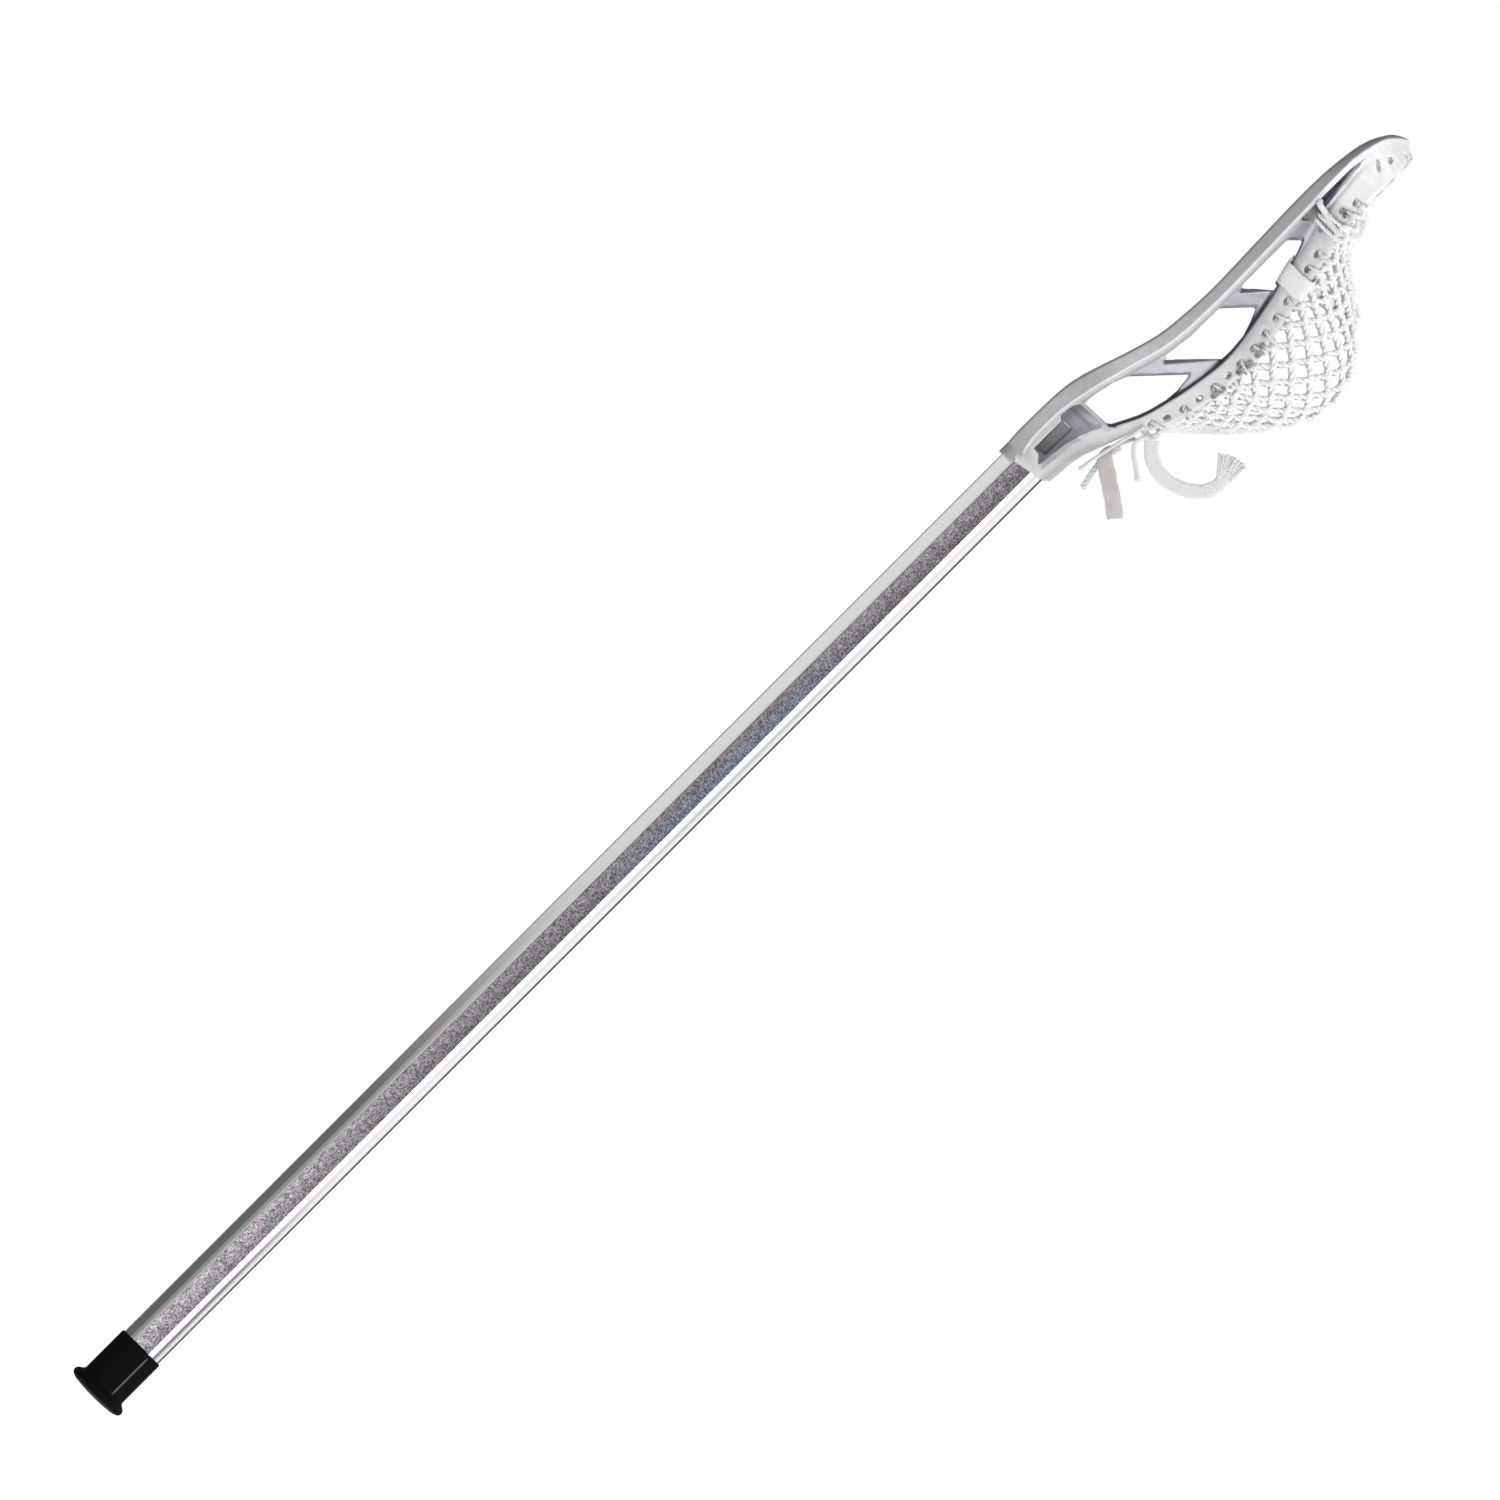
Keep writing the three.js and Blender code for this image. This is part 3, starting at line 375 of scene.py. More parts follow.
class Shape:
    """Collects swept tubes, in millimetres, and turns them into one smooth mesh object."""

    def __init__(self):
        self.points, self.faces, self.uvs, self.count = [], [], [], 0

    def sweep(self, line, section, across=None, side=None, scale=None):
        line = np.asarray(line, float)
        if across is None:
            across, side = carried_frame(line)
        section = np.asarray(section, float)
        sections = np.broadcast_to(section, (len(line),) + section.shape[-2:])
        if scale is not None:
            sections = sections * np.asarray(scale)[:, None, None]
        ring = line[:, None] + across[:, None] * sections[..., :1] + side[:, None] * sections[..., 1:]
        n, m = ring.shape[:2]
        i, j = np.meshgrid(np.arange(n - 1), np.arange(m), indexing="ij")
        corners = ((0, 0), (0, 1), (1, 1), (1, 0))
        quads = np.stack([(i + a) * m + (j + b) % m for a, b in corners], -1).reshape(-1, 4)
        widest = sections[np.argmax(np.abs(sections).sum((1, 2)))]
        around = lengths_along(np.vstack([widest, widest[:1]]))
        along = lengths_along(line)
        uv = np.stack([np.stack([along[i + a], around[j + b]], -1) for a, b in corners], 2).reshape(-1, 2)
        self.points.append(ring.reshape(-1, 3))
        self.faces.extend((quads + self.count).tolist())
        self.faces.append((np.arange(m)[::-1] + self.count).tolist())
        self.faces.append((np.arange(m) + (n - 1) * m + self.count).tolist())
        ends = [np.stack([np.full(m, place), around[:m]], -1) for place in (along[0], along[-1])]
        self.uvs.extend([uv, ends[0][::-1], ends[1]])
        self.count += n * m

    def cord(self, line, radius, sides):
        """A plain round cord with rounded ends."""
        self.sweep(line, circle(radius, sides), scale=rounded_ends(line, radius))

    def twisted(self, line, radius, plies, pitch, sides=6, phase=0.0):
        """Plies twisted round each other inside the given radius."""
        line = np.asarray(line, float)
        across, side = carried_frame(line)
        ply = radius / (1 + 1 / math.sin(math.pi / plies)) * 1.08
        turn = lengths_along(line) * 2 * math.pi / pitch + phase
        for k in range(plies):
            angle = (turn + k * 2 * math.pi / plies)[:, None]
            offset = (across * np.cos(angle) + side * np.sin(angle)) * (radius - ply)
            self.cord(line + offset, ply, sides)

    def loop(self, line, radius, sides=6):
        """A closed ring of cord: the line's last point repeats the first."""
        self.sweep(line, circle(radius, sides))

    def object(self, name, material, slot, node=None):
        """The finished piece, which stands for that CAD node."""
        mesh = bpy.data.meshes.new(name)
        mesh.from_pydata((np.vstack(self.points) * MM).tolist(), [], self.faces)
        layer = mesh.uv_layers.new(name="weave")
        layer.data.foreach_set("uv", np.vstack(self.uvs).astype(np.float32).ravel())
        piece = place(name, mesh, material, slot)
        if node:
            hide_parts(node)
        return piece


def place(name, mesh, material, slot, body="stick"):
    """A new piece from a mesh: normals outward, smooth, painted and riding on its body."""
    work = bmesh.new()
    work.from_mesh(mesh)
    bmesh.ops.recalc_face_normals(work, faces=work.faces)
    for face in work.faces:
        face.smooth = True
    work.to_mesh(mesh)
    work.free()
    mesh.materials.clear()
    mesh.materials.append(material)
    piece = in_scene(name, mesh)
    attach(piece, body)
    return piece


# ---------------- materials

class Nodes:
    """Makes and links the nodes of one tree."""

    def __init__(self, tree):
        self.tree = tree

    def node(self, kind, inputs=(), **settings):
        made = self.tree.nodes.new("ShaderNode" + kind)
        for key, value in settings.items():
            setattr(made, key, value)
        for socket, value in dict(inputs).items():
            self.feed(made.inputs[socket], value)
        return made

    def feed(self, socket, value):
        if isinstance(value, bpy.types.NodeSocket):
            self.tree.links.new(value, socket)
        else:
            socket.default_value = value

    def between(self, value, low, high, start=0.0, end=1.0):
        inputs = {"Value": value, "From Min": low, "From Max": high, "To Min": start, "To Max": end}
        return self.node("MapRange", inputs, interpolation_type="SMOOTHSTEP").outputs["Result"]


class Paint(Nodes):
    """A node material round one Principled shader."""

    def __init__(self, name, **sockets):
        self.material = bpy.data.materials.new(name)
        self.material.use_nodes = True
        super().__init__(self.material.node_tree)
        self.shader = self.tree.nodes["Principled BSDF"]
        for socket, value in sockets.items():
            self.shader.inputs[socket.replace("_", " ")].default_value = value

    def math(self, operation, *values):
        made = self.node("Math", operation=operation)
        for socket, value in zip(made.inputs, values):
            self.feed(socket, value)
        return made.outputs[0]

    def times(self, *values):
        """All the values multiplied together."""
        product = values[0]
        for value in values[1:]:
            product = self.math("MULTIPLY", product, value)
        return product

    def position(self):
        """X, Y and Z in the object's own frame, in metres."""
        coordinates = self.node("TexCoord").outputs["Object"]
        return coordinates, self.node("SeparateXYZ", {"Vector": coordinates}).outputs

    def noise(self, scale, detail, roughness, stretch=None):
        vector = self.node("TexCoord").outputs["Object"]
        if stretch:
            vector = self.node("Mapping", {"Vector": vector, "Scale": stretch}).outputs[0]
        inputs = {"Vector": vector, "Scale": scale, "Detail": detail, "Roughness": roughness}
        return self.node("TexNoise", inputs).outputs["Fac"]

    def mix(self, factor, first, second):
        """Colours first and second blended. Sockets 6 and 7, and output 2, are the colour ones."""
        return self.node("Mix", data_type="RGBA", inputs={0: factor, 6: first, 7: second}).outputs[2]

    def bump(self, height, distance, strength):
        made = self.node("Bump", {"Height": height, "Distance": distance, "Strength": strength})
        self.feed(self.shader.inputs["Normal"], made.outputs[0])

    def set(self, socket, value):
        self.feed(self.shader.inputs[socket], value)


def grey(value, tint=(0, 0, 0)):
    return (value + tint[0], value + tint[1], value + tint[2], 1)


def braid(paint, pitch, slant):
    """Height of a braid's crossing yarns, from the sweep's own length and width coordinates in mm."""
    uv = paint.node("SeparateXYZ", {"Vector": paint.node("UVMap", uv_map="weave").outputs[0]}).outputs
    scale = 2 * math.pi / pitch
    u, v = paint.times(uv[0], scale), paint.times(uv[1], scale * slant)
    one = paint.math("SINE", paint.math("ADD", u, v))
    other = paint.math("SINE", paint.math("SUBTRACT", u, v))
    return paint.between(paint.math("MAXIMUM", one, other), -0.6, 1.0)


def cord_paint(name, light, dark, pitch, slant=1.0, soil=0.35):
    """Braided yarn with fuzz and soiled patches, and painted shade in the hollows between the yarns. Pitch
    is the length of one crossing, in mm.
    """
    paint = Paint(name, Roughness=0.82, Sheen_Weight=0.25, Sheen_Roughness=0.6)
    yarns = braid(paint, pitch, slant)
    fuzz = paint.noise(2600, 4, 0.7)
    patches = paint.between(paint.noise(140, 4, 0.6), 0.45, 0.75, 0, soil)
    # The hollows between the yarns take the dark colour: painted shade.
    base = paint.mix(yarns, dark, light)
    paint.set("Base Color", paint.mix(patches, base, dark))
    paint.bump(paint.math("ADD", yarns, paint.times(fuzz, 0.5)), 0.0004, 0.9)
    return paint.material


def nylon_paint():
    """Moulded head: the tone stored on its points, with its painted light and shade, faint flow marks and a
    fine mould grain.
    """
    paint = Paint("moulded_nylon", Specular_IOR_Level=0.5, Coat_Weight=0.12, Coat_Roughness=0.3)
    flow = paint.noise(34, 4, 0.6, (1, 1, 0.35))
    cloud = paint.noise(210, 4, 0.65)
    grain = paint.noise(1800, 3, 0.6)
    tone = paint.node("Attribute", attribute_name="tone").outputs["Vector"]
    shade = paint.node("VectorMath", {0: tone, 1: (0.82, 0.82, 0.84)}, operation="MULTIPLY").outputs[0]
    streaks, clouds = paint.between(flow, 0.35, 0.75, 0, 0.5), paint.between(cloud, 0.4, 0.75, 0, 0.5)
    paint.set("Base Color", paint.mix(paint.math("ADD", streaks, clouds), tone, shade))
    paint.set("Roughness", paint.between(flow, 0.3, 0.7, 0.36, 0.48))
    paint.bump(grain, 0.00006, 0.35)
    return paint.material


def aluminium_paint():
    """Tube: speckled grain on the flats, bright drawn metal with fine lines on the chamfers, and painted
    shade along edges, in the socket and by the butt.
    """
    paint = Paint("grained_aluminium", Anisotropic=0.3)
    _, (x, y, z) = paint.position()
    depth = paint.math("ABSOLUTE", y)
    side = paint.between(paint.math("ABSOLUTE", x), 0.01098, 0.01112)
    drawn = paint.noise(900, 3, 0.5, (1, 1, 0.02))
    speck = paint.between(paint.noise(950, 5, 0.85), 0.38, 0.62, 0.1, 1.9)
    blotch = paint.between(paint.noise(260, 4, 0.7), 0.35, 0.65, 0.85, 1.15)
    mid_shaft = paint.times(paint.between(z, 0.36, 0.48), paint.between(z, 0.54, 0.62, 1, 0))

    # Grain of the flats: darker up the shaft and towards the pocket side, bluish at mid shaft.
    cool = paint.times(mid_shaft, paint.between(y, -0.003, 0.002))
    level = paint.math("ADD", paint.between(z, 0.04, 0.35, 0.34, 0.185), paint.times(mid_shaft, -0.04))
    slope = paint.math("ADD", paint.between(y, -0.0055, 0.005, 1.3, 0.75), paint.times(cool, 0.35))
    patches = paint.between(paint.noise(780, 3, 0.7), 0.42, 0.58)
    hue = paint.mix(patches, grey(1.0, (0.2, -0.08, 0.02)), grey(1.0, (-0.08, 0, 0.14)))
    hue = paint.mix(cool, hue, grey(0.9, (0, 0.06, 0.42)))
    value = paint.times(level, slope, speck, blotch)
    grain = paint.node("VectorMath", {0: hue, "Scale": value}, operation="SCALE").outputs[0]

    # Painted shade: dark edges of the side flats, and the end of the tube that shows inside the socket.
    rim = paint.times(paint.between(y, -0.0056, -0.0047, 1, 0), paint.between(z, 0.25, 0.4, 0, 0.85))
    rim = paint.times(paint.math("MAXIMUM", rim, paint.between(depth, 0.0053, 0.0060)), side)
    grain = paint.mix(rim, grain, grey(0.06, (0, 0, 0.01)))
    in_socket = paint.mix(paint.between(z, 0.748, 0.768), grey(0.10), grey(0.26))
    grain = paint.mix(paint.between(z, 0.7455, 0.7465), grain, in_socket)

    # Chamfers: a dark line on the pocket side, painted shade darkening to a black edge there, and painted
    # shade on the face side by the butt.
    past_line = paint.times(paint.between(y, 0.0082, 0.0087), paint.between(y, 0.0089, 0.0118, 1, 0))
    strength = paint.math("ADD", paint.between(z, 0.09, 0.2, 0.95, 0.2), paint.times(mid_shaft, 0.3))
    shaded = paint.times(paint.between(y, -0.0092, -0.0078, 1, 0.35), paint.between(z, 0.2, 0.42, 1, 0),
                         paint.between(y, -0.002, 0.002, 0.85, 0))
    metal = paint.mix(paint.between(drawn, 0.3, 0.7, 0, 0.15), grey(0.9), grey(0.66))
    metal = paint.mix(paint.times(past_line, strength), metal, grey(0.14, (0.05, 0, 0.05)))
    metal = paint.mix(shaded, metal, grey(0.2))
    metal = paint.mix(paint.between(y, 0.0112, 0.0122, 0, 0.45), metal, grey(0.2))
    metal = paint.mix(paint.between(y, 0.0119, 0.0124), metal, grey(0.03))

    flat = paint.math("MAXIMUM", side, paint.between(depth, 0.01262, 0.01292))
    paint.set("Base Color", paint.mix(flat, metal, grain))
    paint.set("Roughness", paint.mix(flat, grey(0.26), grey(0.55)))
    paint.set("Metallic", paint.mix(flat, grey(1.0), grey(0.3)))
    paint.bump(paint.math("ADD", paint.times(speck, flat), paint.times(drawn, 0.15)), 0.00008, 0.6)
    return paint.material


def rubber_paint():
    """Matte black rubber, dusty in places, with a painted highlight along two of the sleeve's corners and by
    the foot.
    """
    paint = Paint("matte_rubber", Specular_IOR_Level=0.08)
    dust = paint.noise(160, 5, 0.7)
    grain = paint.noise(1500, 4, 0.6)
    _, (x, y, z) = paint.position()
    # A painted highlight along the sleeve's two pocket-side corners, and at the foot.
    from_corner = paint.math("ABSOLUTE", paint.math("SUBTRACT", y, 0.0068))
    corner = paint.times(paint.between(from_corner, 0.0002, 0.0007, 1, 0),
                         paint.between(paint.math("ABSOLUTE", x), 0.0105, 0.0115))
    sleeve = paint.times(paint.between(z, 0.0075, 0.011), paint.between(z, 0.034, 0.038, 1, 0))
    foot = paint.between(z, 0.0, 0.0025, 0.4, 0)
    painted_highlight = paint.math("MAXIMUM", paint.times(corner, sleeve), foot)
    base = paint.mix(paint.between(dust, 0.5, 0.8, 0, 0.6), grey(0.001), grey(0.006, (0.001, 0, 0)))
    paint.set("Base Color", paint.mix(painted_highlight, base, grey(0.1)))
    paint.set("Roughness", paint.between(dust, 0.3, 0.7, 0.6, 0.78))
    paint.bump(paint.math("ADD", grain, dust), 0.00012, 0.5)
    return paint.material


def steel_paint():
    paint = Paint("screw_steel", Metallic=1.0)
    turned = paint.noise(1200, 3, 0.5, (1, 0.05, 1))
    paint.set("Base Color", paint.mix(turned, grey(0.42), grey(0.68)))
    paint.set("Roughness", paint.between(turned, 0.3, 0.7, 0.22, 0.42))
    paint.bump(turned, 0.00005, 0.4)
    return paint.material


def foam_paint():
    paint = Paint("closed_cell_foam", Roughness=0.95)
    cells = paint.node("TexVoronoi", {"Vector": paint.position()[0], "Scale": 1100}).outputs["Distance"]
    paint.set("Base Color", paint.mix(cells, grey(0.014), grey(0.06)))
    paint.bump(cells, 0.0003, 0.7)
    return paint.material


NYLON = nylon_paint()
ALUMINIUM = aluminium_paint()
RUBBER = rubber_paint()
STEEL = steel_paint()
FOAM = foam_paint()
NET_CORD = cord_paint("net_cord", grey(0.99), grey(0.87), pitch=1.5, soil=0.1)
STRING_CORD = cord_paint("string_cord", grey(0.93), grey(0.62), pitch=1.2)
KNOT_CORD = cord_paint("knot_cord", grey(0.46, (0.03, 0, 0)), grey(0.09, (0.01, 0, 0.005)),
                       pitch=1.2, soil=0.6)
LACE_WEAVE = cord_paint("lace_weave", grey(0.96), grey(0.70, (0.01, 0, 0)), pitch=1.7, slant=1.6, soil=0.25)
PINK_LACE = cord_paint("soiled_lace_weave", grey(0.72, (0.06, 0, 0.005)), grey(0.40, (0.05, 0, 0)),
                       pitch=1.5, slant=1.6, soil=0.4)


# ---------------- the free lace ends

def flat_frame(line, twist=0.0):
    """Directions for a flat lace that lies square to X, turned by twist at its start."""
    along = tangents(line)
    across = unit(np.cross(np.array([1.0, 0, 0]), along))
    share = lengths_along(line) / lengths_along(line)[-1]
    angle = (twist * (1 - smoothstep(share, 0.15, 0.5)))[:, None]
    turned = across * np.cos(angle) + np.cross(along, across) * np.sin(angle)
    return turned, np.cross(along, turned)


def add_flat_tail(node, width, thickness, ribs, twist, paint):
    line = spline(TAILS[node], 0.7)
    across, side = flat_frame(line, twist)
    along = lengths_along(line)
    edge = 1 + 0.035 * np.sin(along * 1.7) + 0.03 * np.sin(along * 0.63 + 1)
    section = flat_section(width, thickness, 12, ribs, 0.35)
    sections = section[None] * np.stack([edge, 1 + 0.12 * np.sin(along * 2.1)], 1)[:, None]
    shape = Shape()
    shape.sweep(line, sections, across, side)
    return shape.object(node + "_weave", paint, "lace", node), line


def add_frayed_end(line, width):
    """The ribbed yarns that fan out past the end of the curled lace."""
    end, along = line[-1], tangents(line)[-1]
    across = unit(np.cross(np.array([1.0, 0, 0]), along))
    shape = Shape()
    yarns = 8
    for i in range(yarns):
        share = i / (yarns - 1) * 2 - 1
        lift = np.array([0.35 * math.cos(i * 2.3), 0, 0])
        start = end - along * 4 + across * share * width * 0.42
        middle = end + along * 3 + across * share * width * 0.72 + lift
        reach = 9.5 - 1.8 * share * share + 0.7 * math.sin(i * 3.1)
        tip = end + along * reach + across * share * width * 0.98 + lift * 2
        route = [start, (start + middle) / 2 + lift * 0.5, middle, tip]
        shape.twisted(spline(route, 0.6), 1.3, 2, 3.2, phase=i)
    return shape.object("curled_lace_frayed_end", LACE_WEAVE, "lace")


def add_tails():
    tail, line = add_flat_tail("throat_lace_tail", 9.2, 2, 5, math.pi / 2, PINK_LACE)

    tail, line = add_flat_tail("curled_lace_tail", 8, 2, 6, 0, LACE_WEAVE)
    add_frayed_end(line, 8.5)

    for node, (radius, swelling) in ROUND_TAILS.items():
        line = spline(TAILS[node], 0.5)
        shape = Shape()
        if swelling:
            left = lengths_along(line)[-1] - lengths_along(line)
            bead = 1 + swelling * np.exp(-((left - radius) / radius) ** 2)
            shape.sweep(line, circle(radius, 10), scale=bead * rounded_ends(line, radius))
        else:
            shape.twisted(line, radius, 3, 9, sides=8)
        piece = shape.object(node + "_cord", STRING_CORD, "cord", node)


add_tails()


# ---------------- rigid pieces

def smooth_copy(node, name, voxel, iterations, material, slot, body="stick"):
    """A copy of a CAD solid with softened edges, as a moulding has."""
    source = in_scene(name + "_source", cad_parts[node].data.copy())
    remesh = source.modifiers.new("remesh", "REMESH")
    remesh.mode = "VOXEL"
    remesh.voxel_size = voxel * MM
    smooth = source.modifiers.new("smooth", "SMOOTH")
    smooth.factor = 0.5
    smooth.iterations = iterations
    evaluated = source.evaluated_get(bpy.context.evaluated_depsgraph_get())
    quads = len(evaluated.to_mesh().polygons)
    evaluated.to_mesh_clear()
    if quads * 2 > MOST_TRIANGLES:
        decimate = source.modifiers.new("decimate", "DECIMATE")
        decimate.ratio = MOST_TRIANGLES / (quads * 2)
    mesh = bpy.data.meshes.new_from_object(source.evaluated_get(bpy.context.evaluated_depsgraph_get()))
    bpy.data.objects.remove(source)
    piece = place(name, mesh, material, slot, body)
    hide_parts(node)
    return piece


def table_of(line):
    """One of the depth lines, for many heights at once."""
    heights = np.arange(730, 1017, 0.5)
    values = np.array([line(z) for z in heights])
    return lambda z: np.interp(z, heights, values)


def inside(outline, z, y):
    """Which points lie inside an outline of [height, depth] points."""
    found = np.zeros(len(z), bool)
    for (z0, y0), (z1, y1) in zip(outline, outline[1:] + outline[:1]):
        found ^= ((z0 > z) != (z1 > z)) & (y < (y1 - y0) * (z - z0) / (z1 - z0 + 1e-9) + y0)
    return found


def tone_head(piece):
    """Stores the tone of the moulding: its own white on the rails, painted shade for the grey outer band,
    the dark lines and facets and the recess floors, and painted light on the scoop.
    """
    vertices = piece.data.vertices
    points, normals = (np.empty(len(vertices) * 3) for _ in range(2))
    vertices.foreach_get("co", points)
    vertices.foreach_get("normal", normals)
    x, y, z = points.reshape(-1, 3).T / MM
    normals = normals.reshape(-1, 3)
    # up: how far a facet looks towards the scoop and the face side; facets that look this way get painted
    # shade below.
    up = normals @ np.array([0, -0.7071, 0.7071])       # towards the scoop and the face side
    inward = [np.interp(z, HEAD_LINE[:HEAD_MIDDLE, 1], HEAD_INWARD[:HEAD_MIDDLE, k]) for k in range(2)]
    outside = smoothstep(-normals[:, 0] * np.sign(x) * inward[0] - normals[:, 2] * inward[1], 0.15, 0.45)
    width = np.interp(z, HEAD_LINE[:HEAD_MIDDLE, 1], HEAD_LINE[:HEAD_MIDDLE, 0])
    inset = width - np.abs(x)
    front, band, rail_lower, rail_top, back, outer = (table_of(line)(z) for line in (
        front_edge, band_edge, top_rail_lower, lower_rail_top, back_edge, curve(BAND_TONE)))
    tone = np.full((len(z), 3), 0.63)

    def lay(colour, share):
        tone[:] += (np.asarray(colour) - tone) * np.clip(share, 0, 1)[:, None]

    scoop = smoothstep(z, 952, 966)
    wall = (1 - scoop) * outside
    on_windows = smoothstep(z, 776, 784) * falloff(z, 944, 952)

    # The scoop is nearly white with painted light. Painted shade darkens the lower rail along its upper
    # edge, and the collar along its back.
    lay(0.77, scoop)
    lay((0.92, 0.92, 0.93), smoothstep(z, 988, 1004))
    shade = smoothstep(z, 858, 872) * smoothstep(y, rail_top, rail_top + 1)
    lay((0.42, 0.42, 0.43), shade * wall * (1 - 0.8 * smoothstep(y, rail_top + 3.5, rail_top + 7)))
    lay(0.45, falloff(z, 768, 778) * smoothstep(y, back - 7, back - 3) * outside)

    # Painted shade on the upper rail, and a darker painted shade line along its lower edge.
    lay((0.5, 0.5, 0.505), falloff(y, rail_lower - 1.6, rail_lower - 1) * wall)
    lay((0.34, 0.34, 0.36), smoothstep(y, rail_lower - 1.6, rail_lower - 1) * on_windows * outside
        * falloff(y, rail_lower + 0.3, rail_lower + 0.9))

    # The outer band's grey, painted shade that deepens by the scoop, a painted dark crease and a painted
    # highlight line where it meets the rail, and its dark front edge, painted shade too.
    lay(outer[:, None] * (1, 1, 1.03), falloff(y, band - 0.7, band + 0.1) * outside)
    lay((0.13, 0.13, 0.15), falloff(y, band - 2.2, band - 0.6) * smoothstep(z, 960, 985) * outside * 0.8)
    lay((0.2, 0.2, 0.21), np.exp(-((y - band + 0.3) / 0.3) ** 2) * wall * 0.7)
    lay(0.8, np.exp(-((y - band - 0.8) / 0.45) ** 2) * wall * 0.9)
    lay((0.2, 0.2, 0.21), falloff(y, front + 0.3, front + 1.5) * outside)

    # The web between the rails in painted shade: darkest where it looks up the stick and to the face side,
    # grey where it looks down, with a painted shadow along the lower rail's top.
    shadow = (0.022, 0.022, 0.03)
    web = smoothstep(y, rail_lower - 0.2, rail_lower + 0.8) * on_windows
    struts = web * falloff(y, rail_top - 2, rail_top - 1)
    web = web * falloff(y, rail_top + 2.2, rail_top + 3.4)
    lay((0.5, 0.49, 0.54), web)
    lay(shadow, (web - struts) * smoothstep(up, 0.15, 0.5))
    lay((0.17, 0.17, 0.2), struts * smoothstep(up, 0.15, 0.5))
    lay((0.25, 0.25, 0.28), struts * smoothstep(-up, 0.2, 0.5))
    lay(shadow, np.exp(-((y - rail_top - 0.6) / 1.7) ** 4) * smoothstep(z, 838, 856) * falloff(z, 895, 915))

    # Painted shade on the floor of the throat recess, lighter towards the back, a painted shadow below it,
    # and the dark wedge beside the scoop, painted shade where a narrow window looks into the shaded head.
    side = (np.abs(x) > 12.7) & (inset > 0.5)
    floor = np.array([0.2, 0.195, 0.235]) + smoothstep(y, 2, 13)[:, None] * 0.42
    floor = floor * (0.55 + 0.45 * smoothstep(z, 750, 775))[:, None]
    lay((0.36, 0.36, 0.37), (z < 768) * inside(THROAT_RECESS, z, y - 3) * 0.8)
    lay(floor, inside(THROAT_RECESS, z, y) & side)
    wedge = inside(SCOOP_RECESS, z, y) & (inset > 0.8) & (inset < 7)
    wedge_back = np.interp(z, [946, 955, 970, 992], [19, 19.9, 16.4, 13.4])
    lay((0.035, 0.035, 0.065), wedge)
    lay((0.24, 0.23, 0.22), wedge * falloff(z, 947, 953) * 0.8)
    lay((0.36, 0.36, 0.4), wedge * smoothstep(y, wedge_back - 2.4, wedge_back - 0.7)
        * smoothstep(z, 950, 958))
    stored = piece.data.attributes.new("tone", "FLOAT_VECTOR", "POINT")
    stored.data.foreach_set("vector", tone.astype(np.float32).ravel())


def repaint(node, material):
    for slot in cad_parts[node].material_slots:
        slot.material = material


tone_head(smooth_copy("head_frame", "moulded_head", 0.7, 2, NYLON, "nylon"))
smooth_copy("end_cap", "rubber_cap", 0.6, 12, RUBBER, "rubber", "butt_cap")
pad = smooth_copy("ball_stop_pad", "foam_pad", 0.5, 8, FOAM, "foam")
repaint("shaft_tube", ALUMINIUM)
repaint("head_screw", STEEL)


# ---------------- the mesh pocket

SURFACE = PocketSurface()


def net_strand(start, direction):
    """One strand's centre line: it climbs half a diamond at a time and turns back at the side edges."""
    column, us, vs, depths = start, [], [], []
    t = np.linspace(0, 1, 12, endpoint=False)
    for row in range(NET_ROWS):
        if not 0 <= column + direction <= NET_COLUMNS:
            direction = -direction
        us.append((column + direction * (0.2 * t + 0.8 * smoothstep(t))) / NET_COLUMNS)
        vs.append((row + t) / NET_ROWS)
        reached = column + direction * t
        from_edge = np.clip(np.minimum(reached, NET_COLUMNS - reached), 0, 1)
        depths.append(NET_DEPTH + direction * np.cos(math.pi * (row + t)) * 0.7 * from_edge)
        column += direction
    return SURFACE.sample(np.concatenate(us), np.concatenate(vs), np.concatenate(depths))[0]


def add_knot(shape, u, v):
    """The wrapped knot where two strands cross, lengthwise along the pocket."""
    ends = SURFACE.sample([u, u], np.clip([v - 0.004, v + 0.004], 0, 1), NET_DEPTH)[0]
    along = unit(ends[1] - ends[0])
    places = np.linspace(-1, 1, 7)
    scale = np.sqrt(np.clip(1.12 - places ** 2, 0, 1)) * (1 + 0.1 * np.cos(places * 3 * math.pi))
    line = ends.mean(0) + along * places[:, None] * NET_KNOT["half_length"]
    shape.sweep(line, circle(NET_KNOT["radius"], 7), scale=scale)


def add_net():
    shape = Shape()
    for start in range(0, NET_COLUMNS + 1, 2):
        for direction in (1, -1):
            if 0 <= start + direction <= NET_COLUMNS:
                line = net_strand(start, direction)
                line = resample(line, int(lengths_along(line)[-1] / 1.15))
                shape.twisted(line, NET_CORD_RADIUS, 2, 8.2, phase=start)
    for row in range(1, NET_ROWS):
        for column in range(row % 2, NET_COLUMNS + 1, 2):
            if 0 < column < NET_COLUMNS:
                add_knot(shape, column / NET_COLUMNS, row / NET_ROWS)
    loose_end = [[3, 64.5, 931], [4, 68.5, 929.5], [4.5, 72, 927.6], [4.5, 74.6, 926.6]]
    shape.twisted(spline(loose_end, 0.5), 1.2, 2, 4)
    net = shape.object("knotted_net", NET_CORD, "cord", "pocket_mesh")


# ---------------- strings and laces

